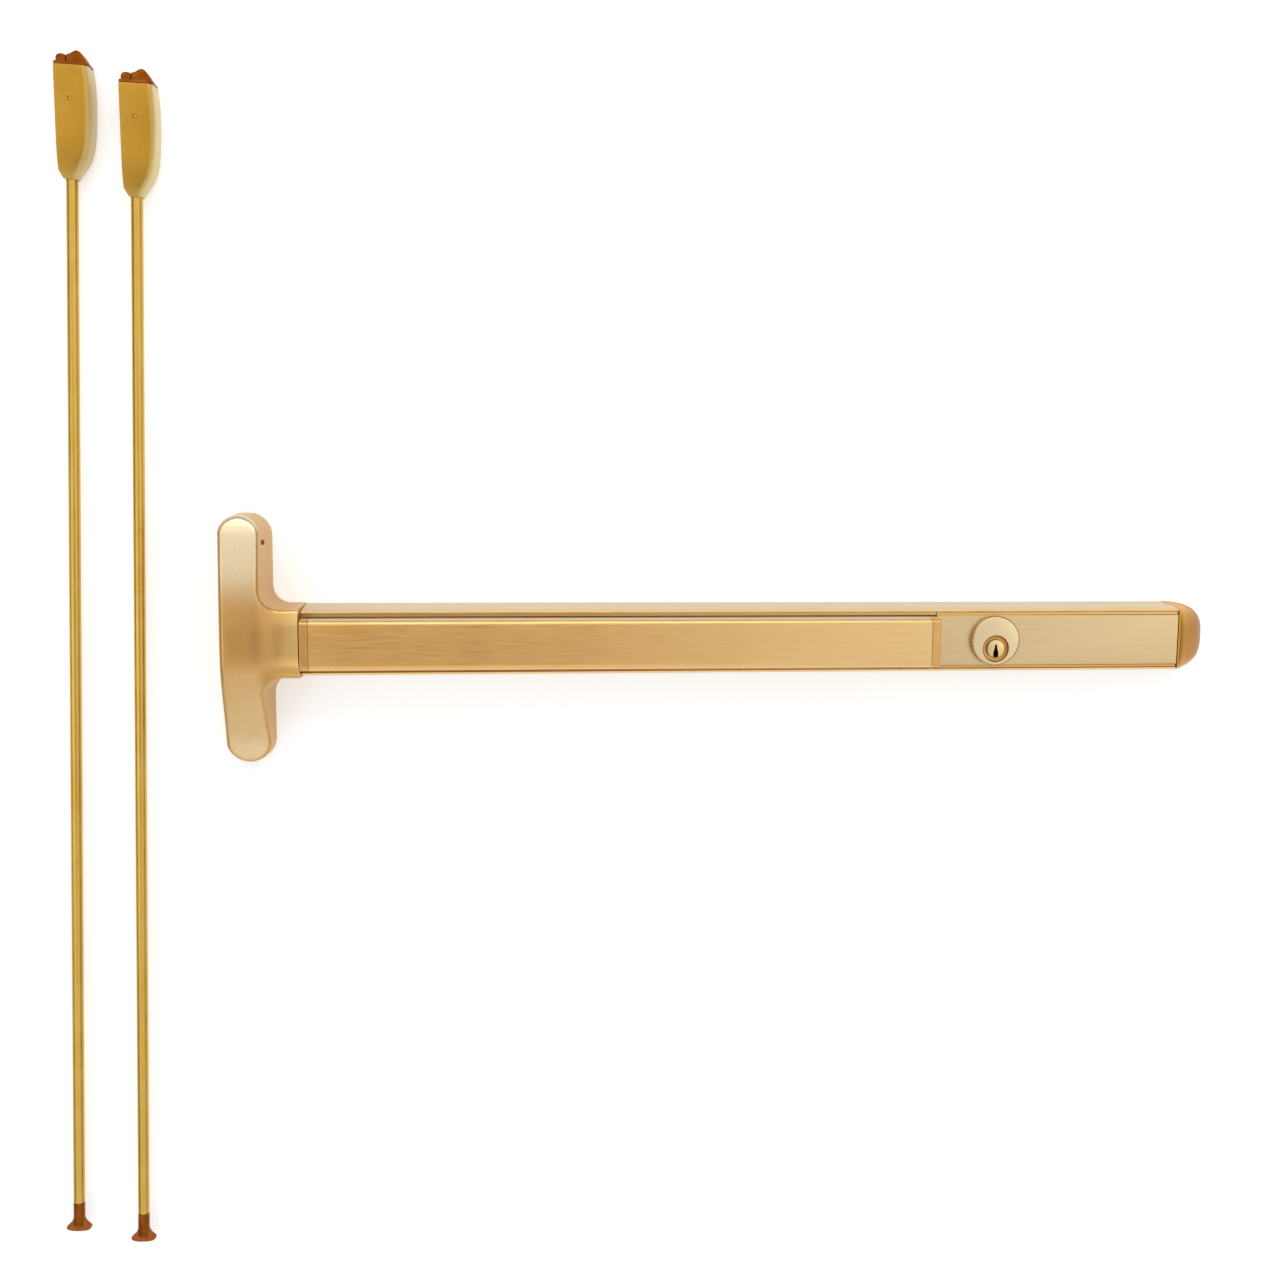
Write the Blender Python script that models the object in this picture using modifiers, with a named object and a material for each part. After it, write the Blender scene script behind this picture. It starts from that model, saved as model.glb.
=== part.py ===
"""Vertical rod exit device: touch bar with its head, and two loose rod and latch sets beside it.

The kit lies on a flat surface with the side that faces the door turned down for the bar. X runs along
the bar, Y along the rods, Z up from the surface. The origin is on the door side of the head, at the
middle of the head and on the centre line of the bar. Lengths below are in millimetres.
"""
import bpy
import bmesh
from math import sin, cos, asin, pi, radians, degrees
from mathutils import Matrix, Vector

MM = 0.001
GAP = 0.3                    # clearance kept between pieces that touch

# head
HEAD_HALF_WIDTH = 20.5
HEAD_TOP = 108.0
HEAD_BOTTOM = -105.0
HEAD_END_DEPTH = 19.0        # how far the rounded ends reach
HEAD_WALL = 2.4
HOLLOW_TOP = 55.5
LEFT_DRAFT = 0.09           # lean of the walls, per depth
RIGHT_DRAFT = 0.055
NECK_DRAFT = 0.02            # upper side of the neck; its lower side leans like the right wall
END_DRAFT = 0.015
NECK_HALF_HEIGHT = 31.0
NECK_FILLET = 15.0
NECK_END = 47.7
EDGE_ROUND = 4.4
NECK_ROUND = 0.68            # share of that rounding along the neck
SCREW_Z = 36.0

# rail, pad and cover
RAIL_START = 48.1
RAIL_END = 811.4
RAIL_HALF_BACK = 30.4
LIP_MOUTH = 24.8
GUIDE_HALF = 21.8            # ledge inside the lips that guides the pad and carries the cover
GUIDE_TOP = 37.0
RAIL_DEPTH = 40.0
END_CAP_TIP = 851.6
PAD_START = 48.3
PAD_END = 589.4
PAD_CAP = 7.2
PAD_HALF = 21.4
PAD_FRONT = 57.0
PAD_SKIRT = 27.0
PAD_WALL = 1.8
PAD_ROUND = 5.0
COVER_START = 591.0
COVER_HALF = 22.2

# mechanism in the bar
PRESS = 14.0                 # pad travel
SWING = 16.0                 # half the swing of each bell crank, degrees
CRANK_LONG = 25.4
CRANK_SHORT = 16.0
CRANK_Z = 28.7
CRANK_X = (150.0, 480.0)
ARM_HALF = 2.2
BOSS = 5.5
PIN = 2.5
PIN_HOLE = 2.9
LINK_HALF = 3.0

# levers and carriers in the head
LEVER_X = 11.0
LEVER_Y = 20.0
LEVER_LONG = 20.0
LEVER_SHORT = 16.0
PORT_Z = 8.8                 # height of the rod axis above the door
PORT_RADIUS = 5.4

# key cylinder
LOCK_X = 643.1
LOCK_FACE = 21.7
PLUG_DROP = 7.0
PLUG_RADIUS = 7.7

# rod and latch sets: place of the foot, lean of the rod
SETS = (("a", (-157.3, -521.3), 1.79), ("b", (-102.7, -533.9), 1.51))
CASE_TOP = 983.2
CASE_LENGTH = 87.0
CASE_WIDTH = 24.0
CASE_BACK_TOP = -11.0        # the back leans out towards the top
CASE_BACK_LOW = -8.3
CASE_STRAIGHT = 81.0         # length of that back, from the top down
CASE_ROUND = 6.0
CASE_FORM = ((0, 15.6, 12.0), (10, 17.0, 12.0), (25, 17.9, 12.0), (40, 17.9, 12.0), (55, 17.2, 12.0),
             (65, 15.8, 11.6), (73, 13.2, 10.6), (79, 10.0, 9.2), (81, 9.0, 8.7), (84, 7.3, 7.6),
             (87, 6.0, 6.3))   # distance below the top, depth in front of the rod, half width
CASE_WALL = 1.6
ROD_RADIUS = 4.75
ROD_START = 25.9
ROD_END = CASE_TOP - 62.0
FLANGE_RADIUS = 10.6
FLARE_HALF = 2.6             # half the thickness of the foot's flat flare

BRONZE = ((0.72, 0.47, 0.20), 0.36, 0.9)
PAD_BRONZE = ((0.66, 0.41, 0.17), 0.38, 0.9)
GOLD = ((0.53, 0.33, 0.08), 0.38, 0.9)
DARK_BRONZE = ((0.27, 0.08, 0.01), 0.45, 0.7)
CAP_BRONZE = ((0.42, 0.20, 0.05), 0.4, 0.8)
STEEL = ((0.55, 0.55, 0.53), 0.4, 1.0)
SPRING = ((0.35, 0.35, 0.36), 0.35, 1.0)

for old in list(bpy.data.objects):
    bpy.data.objects.remove(old, do_unlink=True)

KIT = bpy.data.collections.new("vertical_rod_exit_device")
CUTTERS = bpy.data.collections.new("cutters")
bpy.context.scene.collection.children.link(KIT)
bpy.context.scene.collection.children.link(CUTTERS)


# helpers
def finish(name, bm, look=None, parent=None, smooth=True):
    """Turn a bmesh, in metres, into an object; no look means it is a cutter."""
    bmesh.ops.recalc_face_normals(bm, faces=bm.faces)
    mesh = bpy.data.meshes.new(name)
    bm.to_mesh(mesh)
    bm.free()
    obj = bpy.data.objects.new(name, mesh)
    if look:
        colour, rough, metal = look
        mat = bpy.data.materials.new(name)
        mat.use_nodes = True
        shader = mat.node_tree.nodes["Principled BSDF"]
        shader.inputs["Base Color"].default_value = (*colour, 1.0)
        shader.inputs["Roughness"].default_value = rough
        shader.inputs["Metallic"].default_value = metal
        mesh.materials.append(mat)
        KIT.objects.link(obj)
    else:
        CUTTERS.objects.link(obj)
        obj.hide_render = True
        obj.display_type = 'WIRE'
    obj.parent = parent
    if smooth:
        mesh.shade_smooth()
        mesh.set_sharp_from_angle(angle=radians(32))
    return obj


def move_origin(obj, point):
    """Put the object's origin at a point given in millimetres, leaving its shape where it is."""
    shift = Vector(point) * MM
    obj.data.transform(Matrix.Translation(-shift))
    obj.location = shift
    return obj


def box(name, x, y, z, look=None, parent=None):
    """A block between two limits on each axis."""
    bm = bmesh.new()
    bmesh.ops.create_cube(bm, size=1.0)
    size = [(b - a) * MM for a, b in (x, y, z)]
    middle = [(a + b) / 2 * MM for a, b in (x, y, z)]
    bmesh.ops.transform(bm, matrix=Matrix.Translation(middle) @ Matrix.Diagonal((*size, 1.0)), verts=bm.verts)
    return finish(name, bm, look, parent)


TURN = {"x": Matrix.Rotation(pi / 2, 4, 'Y'), "y": Matrix.Rotation(-pi / 2, 4, 'X'), "z": Matrix.Identity(4)}


def rod(name, axis, radius, start, end, at=(0, 0), look=None, parent=None, sides=24):
    """A cylinder along an axis; `at` gives its place on the two other axes, in X, Y, Z order."""
    bm = bmesh.new()
    bmesh.ops.create_cone(bm, cap_ends=True, segments=sides, radius1=radius * MM, radius2=radius * MM,
                          depth=(end - start) * MM)
    middle = list(at)
    middle.insert("xyz".index(axis), (start + end) / 2)
    bmesh.ops.transform(bm, matrix=Matrix.Translation(Vector(middle) * MM) @ TURN[axis], verts=bm.verts)
    return finish(name, bm, look, parent)


PLANE = {"xy": Matrix.Identity(4),
         "xz": Matrix.Rotation(pi / 2, 4, 'X'),
         "yz": Matrix.Rotation(pi / 2, 4, 'Z') @ Matrix.Rotation(pi / 2, 4, 'X')}


def plate(name, plane, outline, start, end, look=None, parent=None, holes=()):
    """A flat outline, drawn in one plane, as a solid between two limits on the third axis."""
    curve = bpy.data.curves.new(name + "_outline", 'CURVE')
    curve.dimensions = '2D'
    curve.fill_mode = 'BOTH'
    curve.extrude = (end - start) / 2 * MM
    for loop in (outline, *holes):
        spline = curve.splines.new('POLY')
        spline.points.add(len(loop) - 1)
        for point, (u, v) in zip(spline.points, loop):
            point.co = (u * MM, v * MM, 0.0, 1.0)
        spline.use_cyclic_u = True
    flat = bpy.data.objects.new(name + "_outline", curve)
    bpy.context.scene.collection.objects.link(flat)
    graph = bpy.context.evaluated_depsgraph_get()
    mesh = bpy.data.meshes.new_from_object(flat.evaluated_get(graph))
    bpy.data.objects.remove(flat, do_unlink=True)
    middle = {"xy": (0, 0, 1), "xz": (0, 1, 0), "yz": (1, 0, 0)}[plane]
    place = Matrix.Translation(Vector(middle) * (start + end) / 2 * MM)
    bm = bmesh.new()
    bm.from_mesh(mesh)
    bmesh.ops.remove_doubles(bm, verts=bm.verts, dist=1e-6)
    bmesh.ops.dissolve_limit(bm, angle_limit=radians(0.2), verts=bm.verts, edges=bm.edges)
    bmesh.ops.transform(bm, matrix=place @ PLANE[plane], verts=bm.verts)
    return finish(name, bm, look, parent)


def turned(name, profile, axis, at=(0, 0), look=None, parent=None, sides=28):
    """A turned solid: radius and height pairs, listed from the top down, with a Screw about an axis."""
    bm = bmesh.new()
    verts = [bm.verts.new((r * MM, 0.0, h * MM)) for r, h in profile]
    for pair in zip(verts, verts[1:]):
        bm.edges.new(pair)
    obj = finish(name, bm, look, parent, smooth=False)
    middle = list(at)
    middle.insert("xyz".index(axis), 0.0)
    obj.location = Vector(middle) * MM
    obj.rotation_euler = TURN[axis].to_euler()
    screw = obj.modifiers.new("turn", 'SCREW')
    screw.steps = screw.render_steps = sides
    screw.use_merge_vertices = True
    screw.merge_threshold = 0.00001
    screw.use_smooth_shade = True
    return obj


def combine(obj, other, operation):
    modifier = obj.modifiers.new(operation.lower(), 'BOOLEAN')
    modifier.operation = operation
    modifier.solver = 'EXACT'
    modifier.object = other
    return obj


def cut(obj, *others):
    for other in others:
        combine(obj, other, 'DIFFERENCE')
    return obj


def join(obj, *others):
    for other in others:
        combine(obj, other, 'UNION')
    return obj


def soften(obj, width, segments=2, angle=40):
    modifier = obj.modifiers.new("soften", 'BEVEL')
    modifier.width = width * MM
    modifier.segments = segments
    modifier.limit_method = 'ANGLE'
    modifier.angle_limit = radians(angle)
    return obj


def arc(cx, cy, radius, start, end, steps):
    """Points on an arc, angles in degrees."""
    return [(cx + radius * cos(radians(start + (end - start) * i / steps)),
             cy + radius * sin(radians(start + (end - start) * i / steps))) for i in range(steps + 1)]


def spring(name, axis, radius, wire, start, end, turns, at, look, parent=None):
    """A compression spring: a helix of round wire with a flat turn at each end."""
    steps = 10
    total = int((turns + 2) * steps)
    low, high = start + wire, end - wire
    points = []
    for i in range(total + 1):
        turn = i / steps
        share = min(max((turn - 1) / turns, 0.0), 1.0)
        points.append((radius * cos(2 * pi * turn), radius * sin(2 * pi * turn),
                       low + wire * 0.55 * min(turn, 1) + (high - low - wire * 1.1) * share
                       + wire * 0.55 * max(turn - 1 - turns, 0)))
    curve = bpy.data.curves.new(name + "_wire", 'CURVE')
    curve.dimensions = '3D'
    curve.bevel_depth = wire / 2 * MM
    curve.bevel_resolution = 2
    curve.use_fill_caps = True
    line = curve.splines.new('POLY')
    line.points.add(len(points) - 1)
    for point, co in zip(line.points, points):
        point.co = (*(c * MM for c in co), 1.0)
    coil = bpy.data.objects.new(name + "_wire", curve)
    bpy.context.scene.collection.objects.link(coil)
    graph = bpy.context.evaluated_depsgraph_get()
    mesh = bpy.data.meshes.new_from_object(coil.evaluated_get(graph))
    bpy.data.objects.remove(coil, do_unlink=True)
    bm = bmesh.new()
    bm.from_mesh(mesh)
    bmesh.ops.remove_doubles(bm, verts=bm.verts, dist=1e-6)
    middle = list(at)
    middle.insert("xyz".index(axis), 0.0)
    bmesh.ops.transform(bm, matrix=Matrix.Translation(Vector(middle) * MM) @ TURN[axis], verts=bm.verts)
    return finish(name, bm, look, parent)


def bell(first, first_length, second, second_length):
    """Outline of a bell crank about its pivot: two round-ended arms, the second 90 degrees on."""
    lean = degrees(asin(ARM_HALF / BOSS))
    outline = arc(0, 0, BOSS, second + lean, first - lean + 360, 12)
    for angle, length in ((first, first_length), (second, second_length)):
        ux, uy = cos(radians(angle)), sin(radians(angle))
        outline += arc(length * ux, length * uy, ARM_HALF, angle - 90, angle + 90, 6)
        if angle == first:
            vx, vy = cos(radians(second)), sin(radians(second))
            outline.append((ARM_HALF * (ux + vx), ARM_HALF * (uy + vy)))
    return outline


# head
def between(marks, place):
    """Straight-line value between marks, each a place and a value."""
    place = min(max(place, marks[0][0]), marks[-1][0])
    for (y0, d0), (y1, d1) in zip(marks, marks[1:]):
        if place <= y1:
            return d0 + (d1 - d0) * (place - y0) / (y1 - y0)


ARM_DEPTH = ((HEAD_BOTTOM, 17.0), (-98, 18.2), (-84, 23.5), (-68, 32.5), (-52, 42.5), (-36, 53.0),
             (-24, 59.0), (-10, 61.5), (10, 62.0), (35, 60.0), (60, 57.5), (86, 54.5), (98, 52.0),
             (HEAD_TOP, 48.0))
NECK_DEPTH = ((-31, 45.0), (-24, 49.0), (-18, 55.0), (-12, 57.0), (0, 57.5), (16, 57.2), (24, 56.0),
              (31, 54.5))


def head_depth(x, y, inset=0.0):
    """Depth of the head above the door: a long slope below, and a lower neck."""
    arm = between(ARM_DEPTH, y)
    share = between(((12, 0.0), (34, 1.0)), x)
    share = share * share * (3 - 2 * share)
    depth = arm + (min(arm, between(NECK_DEPTH, y)) - arm) * share - inset
    return min(depth, HOLLOW_TOP) if inset else depth


def head_half(length, neck, neck_draft):
    """Right side of one arm, from its end to the neck, drawn as the lower arm: point, outward direction,
    draft, share of the edge rounding, draft of the point across from it, and that point's place on the
    straight left side."""
    rows = []
    end = length - HEAD_END_DEPTH
    for i in range(9):
        a = radians(-90 + 90 * i / 8)
        normal = Vector((cos(a) * HEAD_END_DEPTH, sin(a) * HEAD_HALF_WIDTH)).normalized()
        rows.append((HEAD_HALF_WIDTH * cos(a), -end + HEAD_END_DEPTH * sin(a), normal,
                     END_DRAFT + (RIGHT_DRAFT - END_DRAFT) * i / 8, 1.0,
                     END_DRAFT + (LEFT_DRAFT - END_DRAFT) * i / 8, None))
    for y in (-78.0, -68.0, -58.0, -50.0) if neck else (-78.0, -68.0, -52.0, -36.0, -24.0, -10.0):
        rows.append((HEAD_HALF_WIDTH, y, Vector((1, 0)), RIGHT_DRAFT, 1.0, LEFT_DRAFT, y))
    if not neck:
        return rows
    cx, cy = HEAD_HALF_WIDTH + NECK_FILLET, -NECK_HALF_HEIGHT - NECK_FILLET
    for i in range(7):
        a = radians(180 - 90 * i / 6)
        rows.append((cx + NECK_FILLET * cos(a), cy + NECK_FILLET * sin(a), Vector((-cos(a), -sin(a))),
                     RIGHT_DRAFT + (neck_draft - RIGHT_DRAFT) * i / 6, 1 + (NECK_ROUND - 1) * i / 6,
                     LEFT_DRAFT, cy + 3.6 * i))
    rows.append((NECK_END, -NECK_HALF_HEIGHT, Vector((0, -1)), neck_draft, NECK_ROUND, LEFT_DRAFT, cy + 23.5))
    for y, across in ((-18.0, -17.0), (-12.0, -11.0), (-6.0, -5.5)):
        rows.append((NECK_END, y, Vector((0, 0)), 0.0, 0.0, LEFT_DRAFT, across))
    return rows


def head_side(neck):
    """Rows of both arms, from the bottom of the head to its top."""
    upper = [(x, -y, Vector((n.x, -n.y)), draft, rounding, other, None if left is None else -left)
             for x, y, n, draft, rounding, other, left in reversed(head_half(HEAD_TOP, neck, NECK_DRAFT))]
    middle = [(NECK_END, 0.0, Vector((0, 0)), 0.0, 0.0, LEFT_DRAFT, 0.0)] if neck else []
    return head_half(-HEAD_BOTTOM, neck, RIGHT_DRAFT) + middle + upper


LEVELS = ((0.0, 0.0, 0.0), (0.34, 0.45, 0.0), (0.80, 1.0, 0.0), (0.895, 1.0, 0.12), (0.955, 1.0, 0.38),
          (0.989, 1.0, 0.72), (1.0, 1.0, 1.12))   # share of depth, share of draft, share of rounding
ACROSS = 5                     # strips across the front face


def head_solid(name, look=None, inset=0.0, base=0.0):
    """Head form as a loft of drafted and rounded levels, each a closed loop, shut across the front.
    With an inset it is the hollow of the two arms, without a neck."""
    right, left = [], []
    for x, y, normal, draft, rounding, other_draft, across in head_side(neck=not inset):
        right.append((x, y, normal, draft, rounding))
        if across is None:
            left.append((-x, y, Vector((-normal.x, normal.y)), other_draft, 1.0))
        else:
            left.append((-HEAD_HALF_WIDTH, across, Vector((-1, 0)), other_draft, 1.0))
    loop = right + left[-2:0:-1]
    bm = bmesh.new()
    rings = []
    for share, draft_share, round_share in LEVELS:
        ring = []
        for x, y, normal, draft, rounding in loop:
            inward = inset + draft * head_depth(x, y) * draft_share + EDGE_ROUND * rounding * round_share
            px, py = x - normal.x * inward, y - normal.y * inward
            z = base if share == 0.0 else head_depth(px, py, inset) * share
            ring.append(bm.verts.new((px * MM, py * MM, z * MM)))
        rings.append(ring)
    for low, high in zip(rings, rings[1:]):
        for i in range(len(loop)):
            j = (i + 1) % len(loop)
            bm.faces.new((low[i], low[j], high[j], high[i]))
    count = len(right)
    for ring, strips in ((rings[0], 1), (rings[-1], ACROSS)):
        other = [ring[0]] + ring[:count - 1:-1] + [ring[count - 1]]
        lines = []
        for a, b in zip(ring[:count], other):
            line = [a]
            for k in range(1, strips):
                if a is b:
                    line.append(a)
                    continue
                point = a.co.lerp(b.co, k / strips)
                point.z = head_depth(point.x / MM, point.y / MM, inset) * MM
                line.append(bm.verts.new(point))
            lines.append(line + [b])
        for low, high in zip(lines, lines[1:]):
            for k in range(strips):
                corners = []
                for vert in (low[k], high[k], high[k + 1], low[k + 1]):
                    if vert not in corners:
                        corners.append(vert)
                if len(corners) > 2:
                    bm.faces.new(corners)
    return finish(name, bm, look)


def make_head():
    cover = head_solid("head_cover", BRONZE)
    hollow = head_solid("head_hollow", inset=HEAD_WALL, base=-5.0)
    section = [(28.3, -5.0), (27.6, 20.0), (27.0, 40.0), (26.0, 47.0), (23.4, 51.5), (19.0, 53.8),
               (-11.4, 54.0), (-16.4, 51.0), (-21.4, 44.5), (-24.2, 39.5), (-25.9, 33.0), (-27.2, 15.0),
               (-28.3, -5.0)]
    channel = plate("neck_hollow", "yz", section, 4, NECK_END - HEAD_WALL)
    mouth = box("neck_mouth", (30, 60), (-24, 24), (-5, 34))
    port = arc(0, PORT_Z, PORT_RADIUS, 0, 180, 12) + [(-PORT_RADIUS, -5), (PORT_RADIUS, -5)]
    ports = [plate("port_top", "xz", port, 90, 115), plate("port_bottom", "xz", port, -115, -90)]
    screw_hole = rod("head_screw_hole", "x", 2.5, 10, 30, at=(84, SCREW_Z))
    cut(cover, hollow, channel, mouth, *ports, screw_hole)

    corner = 10.0
    outline = []
    for cx, cy, start in ((1, 1, 0), (-1, 1, 90), (-1, -1, 180), (1, -1, 270)):
        outline += arc(cx * (16.4 - corner), cy * (95 - corner), corner, start, start + 90, 4)
    plate("head_base", "xy", outline, 0.0, 2.4, STEEL)
    turned("head_screw", [(0, 19.4), (1.9, 19.2), (2.2, 18.7), (2.2, 16.7), (1.4, 16.5), (1.4, 10.0),
                          (0, 10.0)], "x", at=(84, SCREW_Z), look=DARK_BRONZE, sides=16)

    for side, sign in (("top", 1), ("bottom", -1)):
        if sign > 0:
            outline = bell(180 - SWING, LEVER_LONG, 270 - SWING, LEVER_SHORT)
        else:
            outline = bell(90 + SWING, LEVER_SHORT, 180 + SWING, LEVER_LONG)
        outline = [(LEVER_X + u, sign * LEVER_Y + v) for u, v in outline]
        hole = arc(LEVER_X, sign * LEVER_Y, PIN_HOLE, 0, 345, 23)
        lever = plate(side + "_lever", "xy", outline, 6.8, 9.8, STEEL, holes=(hole,))
        move_origin(lever, (LEVER_X, sign * LEVER_Y, 8.3))
        rod("lever_pin_" + side, "z", PIN, 2.4 + GAP, 14.0, at=(LEVER_X, sign * LEVER_Y), look=STEEL,
            sides=20)
        make_carrier(side, sign)


def make_carrier(side, sign):
    """Bar that a head lever moves along the head, with a fork at its far end for the neck of the rod."""
    tip_y = LEVER_Y + LEVER_LONG * sin(radians(SWING))
    room = ARM_HALF + 1.0
    shape = [(-14.5, tip_y - room - 3), (-6.2, tip_y - room - 3), (-6.2, tip_y - room),
             (-11.8, tip_y - room), (-11.8, tip_y + room), (-6.2, tip_y + room), (-6.2, 90.9), (-14.5, 90.9)]
    bar = plate(side + "_carrier", "xy", [(x, sign * y) for x, y in shape], 6.8, 10.8, STEEL)
    ends = sorted((sign * 87.0, sign * 91.0))
    fork = box(side + "_fork", (-14.6, 9.0), ends, (2.4 + GAP, 14.0))
    throat = box(side + "_throat", (-5.3, 5.3), (ends[0] - 2, ends[1] + 2), (3.9, 20.0))
    cut(join(bar, fork), throat)
    return bar


# rail and end cap
def rail_section(extra=0.0):
    """Outer half of the rail's section from the door to the front lip: height, depth."""
    outer = ((RAIL_HALF_BACK, 0.0), (RAIL_HALF_BACK, 5.0), (28.5, 24.0), (27.9, 31.5), (26.8, 37.0),
             (26.1, 38.8), (25.1, RAIL_DEPTH))
    return [(y + extra, z) for y, z in outer]


def make_rail():
    inner = [(LIP_MOUTH, 39.7), (LIP_MOUTH, GUIDE_TOP), (GUIDE_HALF, GUIDE_TOP), (GUIDE_HALF, 35.4),
             (25.2, 35.2), (25.7, 30.0), (26.6, 24.0), (28.2, 5.0), (28.2, 2.5)]
    half = rail_section() + inner
    section = half + [(-y, z) for y, z in reversed(half)]
    plate("rail_channel", "yz", section, RAIL_START, RAIL_END, BRONZE)

    half = [(24.4, GUIDE_TOP + GAP), (24.4, 38.0), (COVER_HALF, 38.2), (COVER_HALF, 38.8),
            (COVER_HALF - 0.5, 39.3)]
    section = half + [(-y, z) for y, z in reversed(half)]
    cover = plate("mechanism_cover", "yz", section, COVER_START, RAIL_END - 0.2, BRONZE)
    join(cover, box("cover_fold", (COVER_START, COVER_START + 1.6), (-21, 21), (28, 38.5)))
    cut(cover, rod("lock_hole", "z", 18.2, 30, 50, at=(LOCK_X, 0), sides=36))
    plate("end_bracket", "xz", [(772, 2.8), (808, 2.8), (808, 37), (804.5, 37), (804.5, 5.8), (772, 5.8)],
          -20, 20, STEEL)
    make_end_cap()


CAP_FORM = ((0.0, 0.985), (3.0, 0.965), (7.5, 0.93), (12.0, 0.86), (17.4, 0.75), (23.0, 0.61), (28.4, 0.45),
            (32.0, 0.33), (35.2, 0.22), (38.2, 0.11), (39.8, 0.03))   # height, share of the reach


def end_cap_solid(name, look=None, inset=0.0):
    """End cap as a loft of levels: each has the rail's width and a blunt rounded end, and reaches less far
    the higher it is."""
    start = RAIL_END + GAP
    outer = rail_section(0.1)
    bm = bmesh.new()
    rings = []
    for z, share in CAP_FORM:
        half = between([(height, y) for y, height in outer], z) - inset
        reach = (END_CAP_TIP - start) * share - inset
        back = start - (5.0 if inset else 0.0)
        height = z - inset if z > 0 else (-6.0 if inset else 0.0)
        ring = [(back, -half)]
        for i in range(25):
            a = radians(-90 + 180 * i / 24)
            wide = abs(sin(a)) ** 0.7 * (1 if a > 0 else -1)
            ring.append((start + max(reach, 0.2) * (1 - abs(wide) ** 3) ** 0.4, wide * half))
        ring.append((back, half))
        ring[1], ring[-2] = (start + 0.05, -half), (start + 0.05, half)
        rings.append([bm.verts.new((x * MM, y * MM, height * MM)) for x, y in ring])
    for low, high in zip(rings, rings[1:]):
        for i in range(len(low)):
            j = (i + 1) % len(low)
            bm.faces.new((low[i], low[j], high[j], high[i]))
    bm.faces.new(rings[0])
    bm.faces.new(rings[-1])
    return finish(name, bm, look)


def make_end_cap():
    cap = end_cap_solid("end_cap", CAP_BRONZE)
    cut(cap, end_cap_solid("end_cap_hollow", inset=2.2))


# push pad
def pad_outline(inset=0.0):
    half, front, round_ = PAD_HALF - inset, PAD_FRONT - inset, max(PAD_ROUND - inset, 0.5)
    corner = arc(half - round_, front - round_, round_, 0, 90, 4)
    return [(half, PAD_SKIRT)] + corner + [(-y, z) for y, z in reversed(corner)] + [(-half, PAD_SKIRT)]


def make_pad():
    section = pad_outline() + list(reversed(pad_outline(PAD_WALL)))
    plate("push_pad", "yz", section, PAD_START + PAD_CAP + GAP, PAD_END - PAD_CAP - GAP, PAD_BRONZE)
    for side, start in (("left", PAD_START), ("right", PAD_END - PAD_CAP)):
        soften(plate("pad_cap_" + side, "yz", pad_outline(), start, start + PAD_CAP, CAP_BRONZE), 0.5, 1, 60)
    reach = CRANK_LONG * cos(radians(SWING))
    low = CRANK_Z + CRANK_LONG * sin(radians(SWING)) + ARM_HALF + GAP + 0.1
    for side, x in zip(("left", "right"), CRANK_X):
        box("pad_lug_" + side, (x - reach - 10, x - reach - 0.3), (-8, 8), (low, PAD_FRONT - PAD_WALL - GAP),
            STEEL)
    for side, x, y in (("left", 230, 11), ("right", 400, -11)):
        spring("pad_spring_" + side, "z", 4.6, 1.2, 5.3, PAD_FRONT - PAD_WALL - GAP, 8, (x, y), SPRING)


# mechanism in the rail
def make_mechanism():
    base = box("mechanism_base", (70, 580), (-18, 18), (2.8, 5.0), STEEL)
    for x in CRANK_X:
        for sign in (-1, 1):
            ear = box("ear_%d_%d" % (x, sign), (x - 6, x + 6), sorted((sign * 4.0, sign * 6.5)), (4.0, 33.5))
            join(base, ear)
        cut(base, rod("ear_hole_%d" % x, "y", PIN_HOLE, -12, 12, at=(x, CRANK_Z)))
    for side, x in zip(("left", "right"), CRANK_X):
        rod("crank_pin_" + side, "y", PIN, -7.6, 7.6, at=(x, CRANK_Z), look=STEEL, sides=20)
        outline = [(x + u, CRANK_Z + v) for u, v in bell(180 - SWING, CRANK_LONG, 270 - SWING, CRANK_SHORT)]
        hole = arc(x, CRANK_Z, PIN_HOLE, 0, 345, 23)
        crank = plate("bell_crank_" + side, "xz", outline, -2, 2, STEEL, holes=(hole,))
        move_origin(crank, (x, 0, CRANK_Z))
    make_link()
    bar = box("dogging_bar", (500, 652), (9, 15), (5.4, 9.0), STEEL)
    join(bar, box("dog", (500, 505), (9, 15), (8, 14)))


def make_link():
    """Flat bar that both cranks move, forked round each crank tip and notched for the head levers."""
    back = CRANK_SHORT * sin(radians(SWING))
    room = ARM_HALF + 1.0
    top = []
    for x in CRANK_X:
        tip = x - back
        top += [(tip - room - 4, 10.0), (tip - room - 4, 15.0), (tip - room, 15.0), (tip - room, 10.0),
                (tip + room, 10.0), (tip + room, 15.0), (tip + room + 4, 15.0), (tip + room + 4, 10.0)]
    outline = [(10.0, 6.2), (492.0, 6.2), (492.0, 10.0)] + top[::-1] + [(10.0, 10.0)]
    link = plate("actuator_link", "xz", outline, -LINK_HALF, LINK_HALF, STEEL)
    tip = LEVER_X - LEVER_SHORT * sin(radians(SWING))
    web = LEVER_Y - LEVER_SHORT - ARM_HALF - 0.5
    shape = [(tip - room - 4, -7), (tip - room, -7), (tip - room, -web), (tip + room, -web), (tip + room, -7),
             (tip + room + 5, -7)]
    shape = shape + [(x, -y) for x, y in reversed(shape)]
    return join(link, plate("link_end", "xy", shape, 6.5, 9.7))


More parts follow.
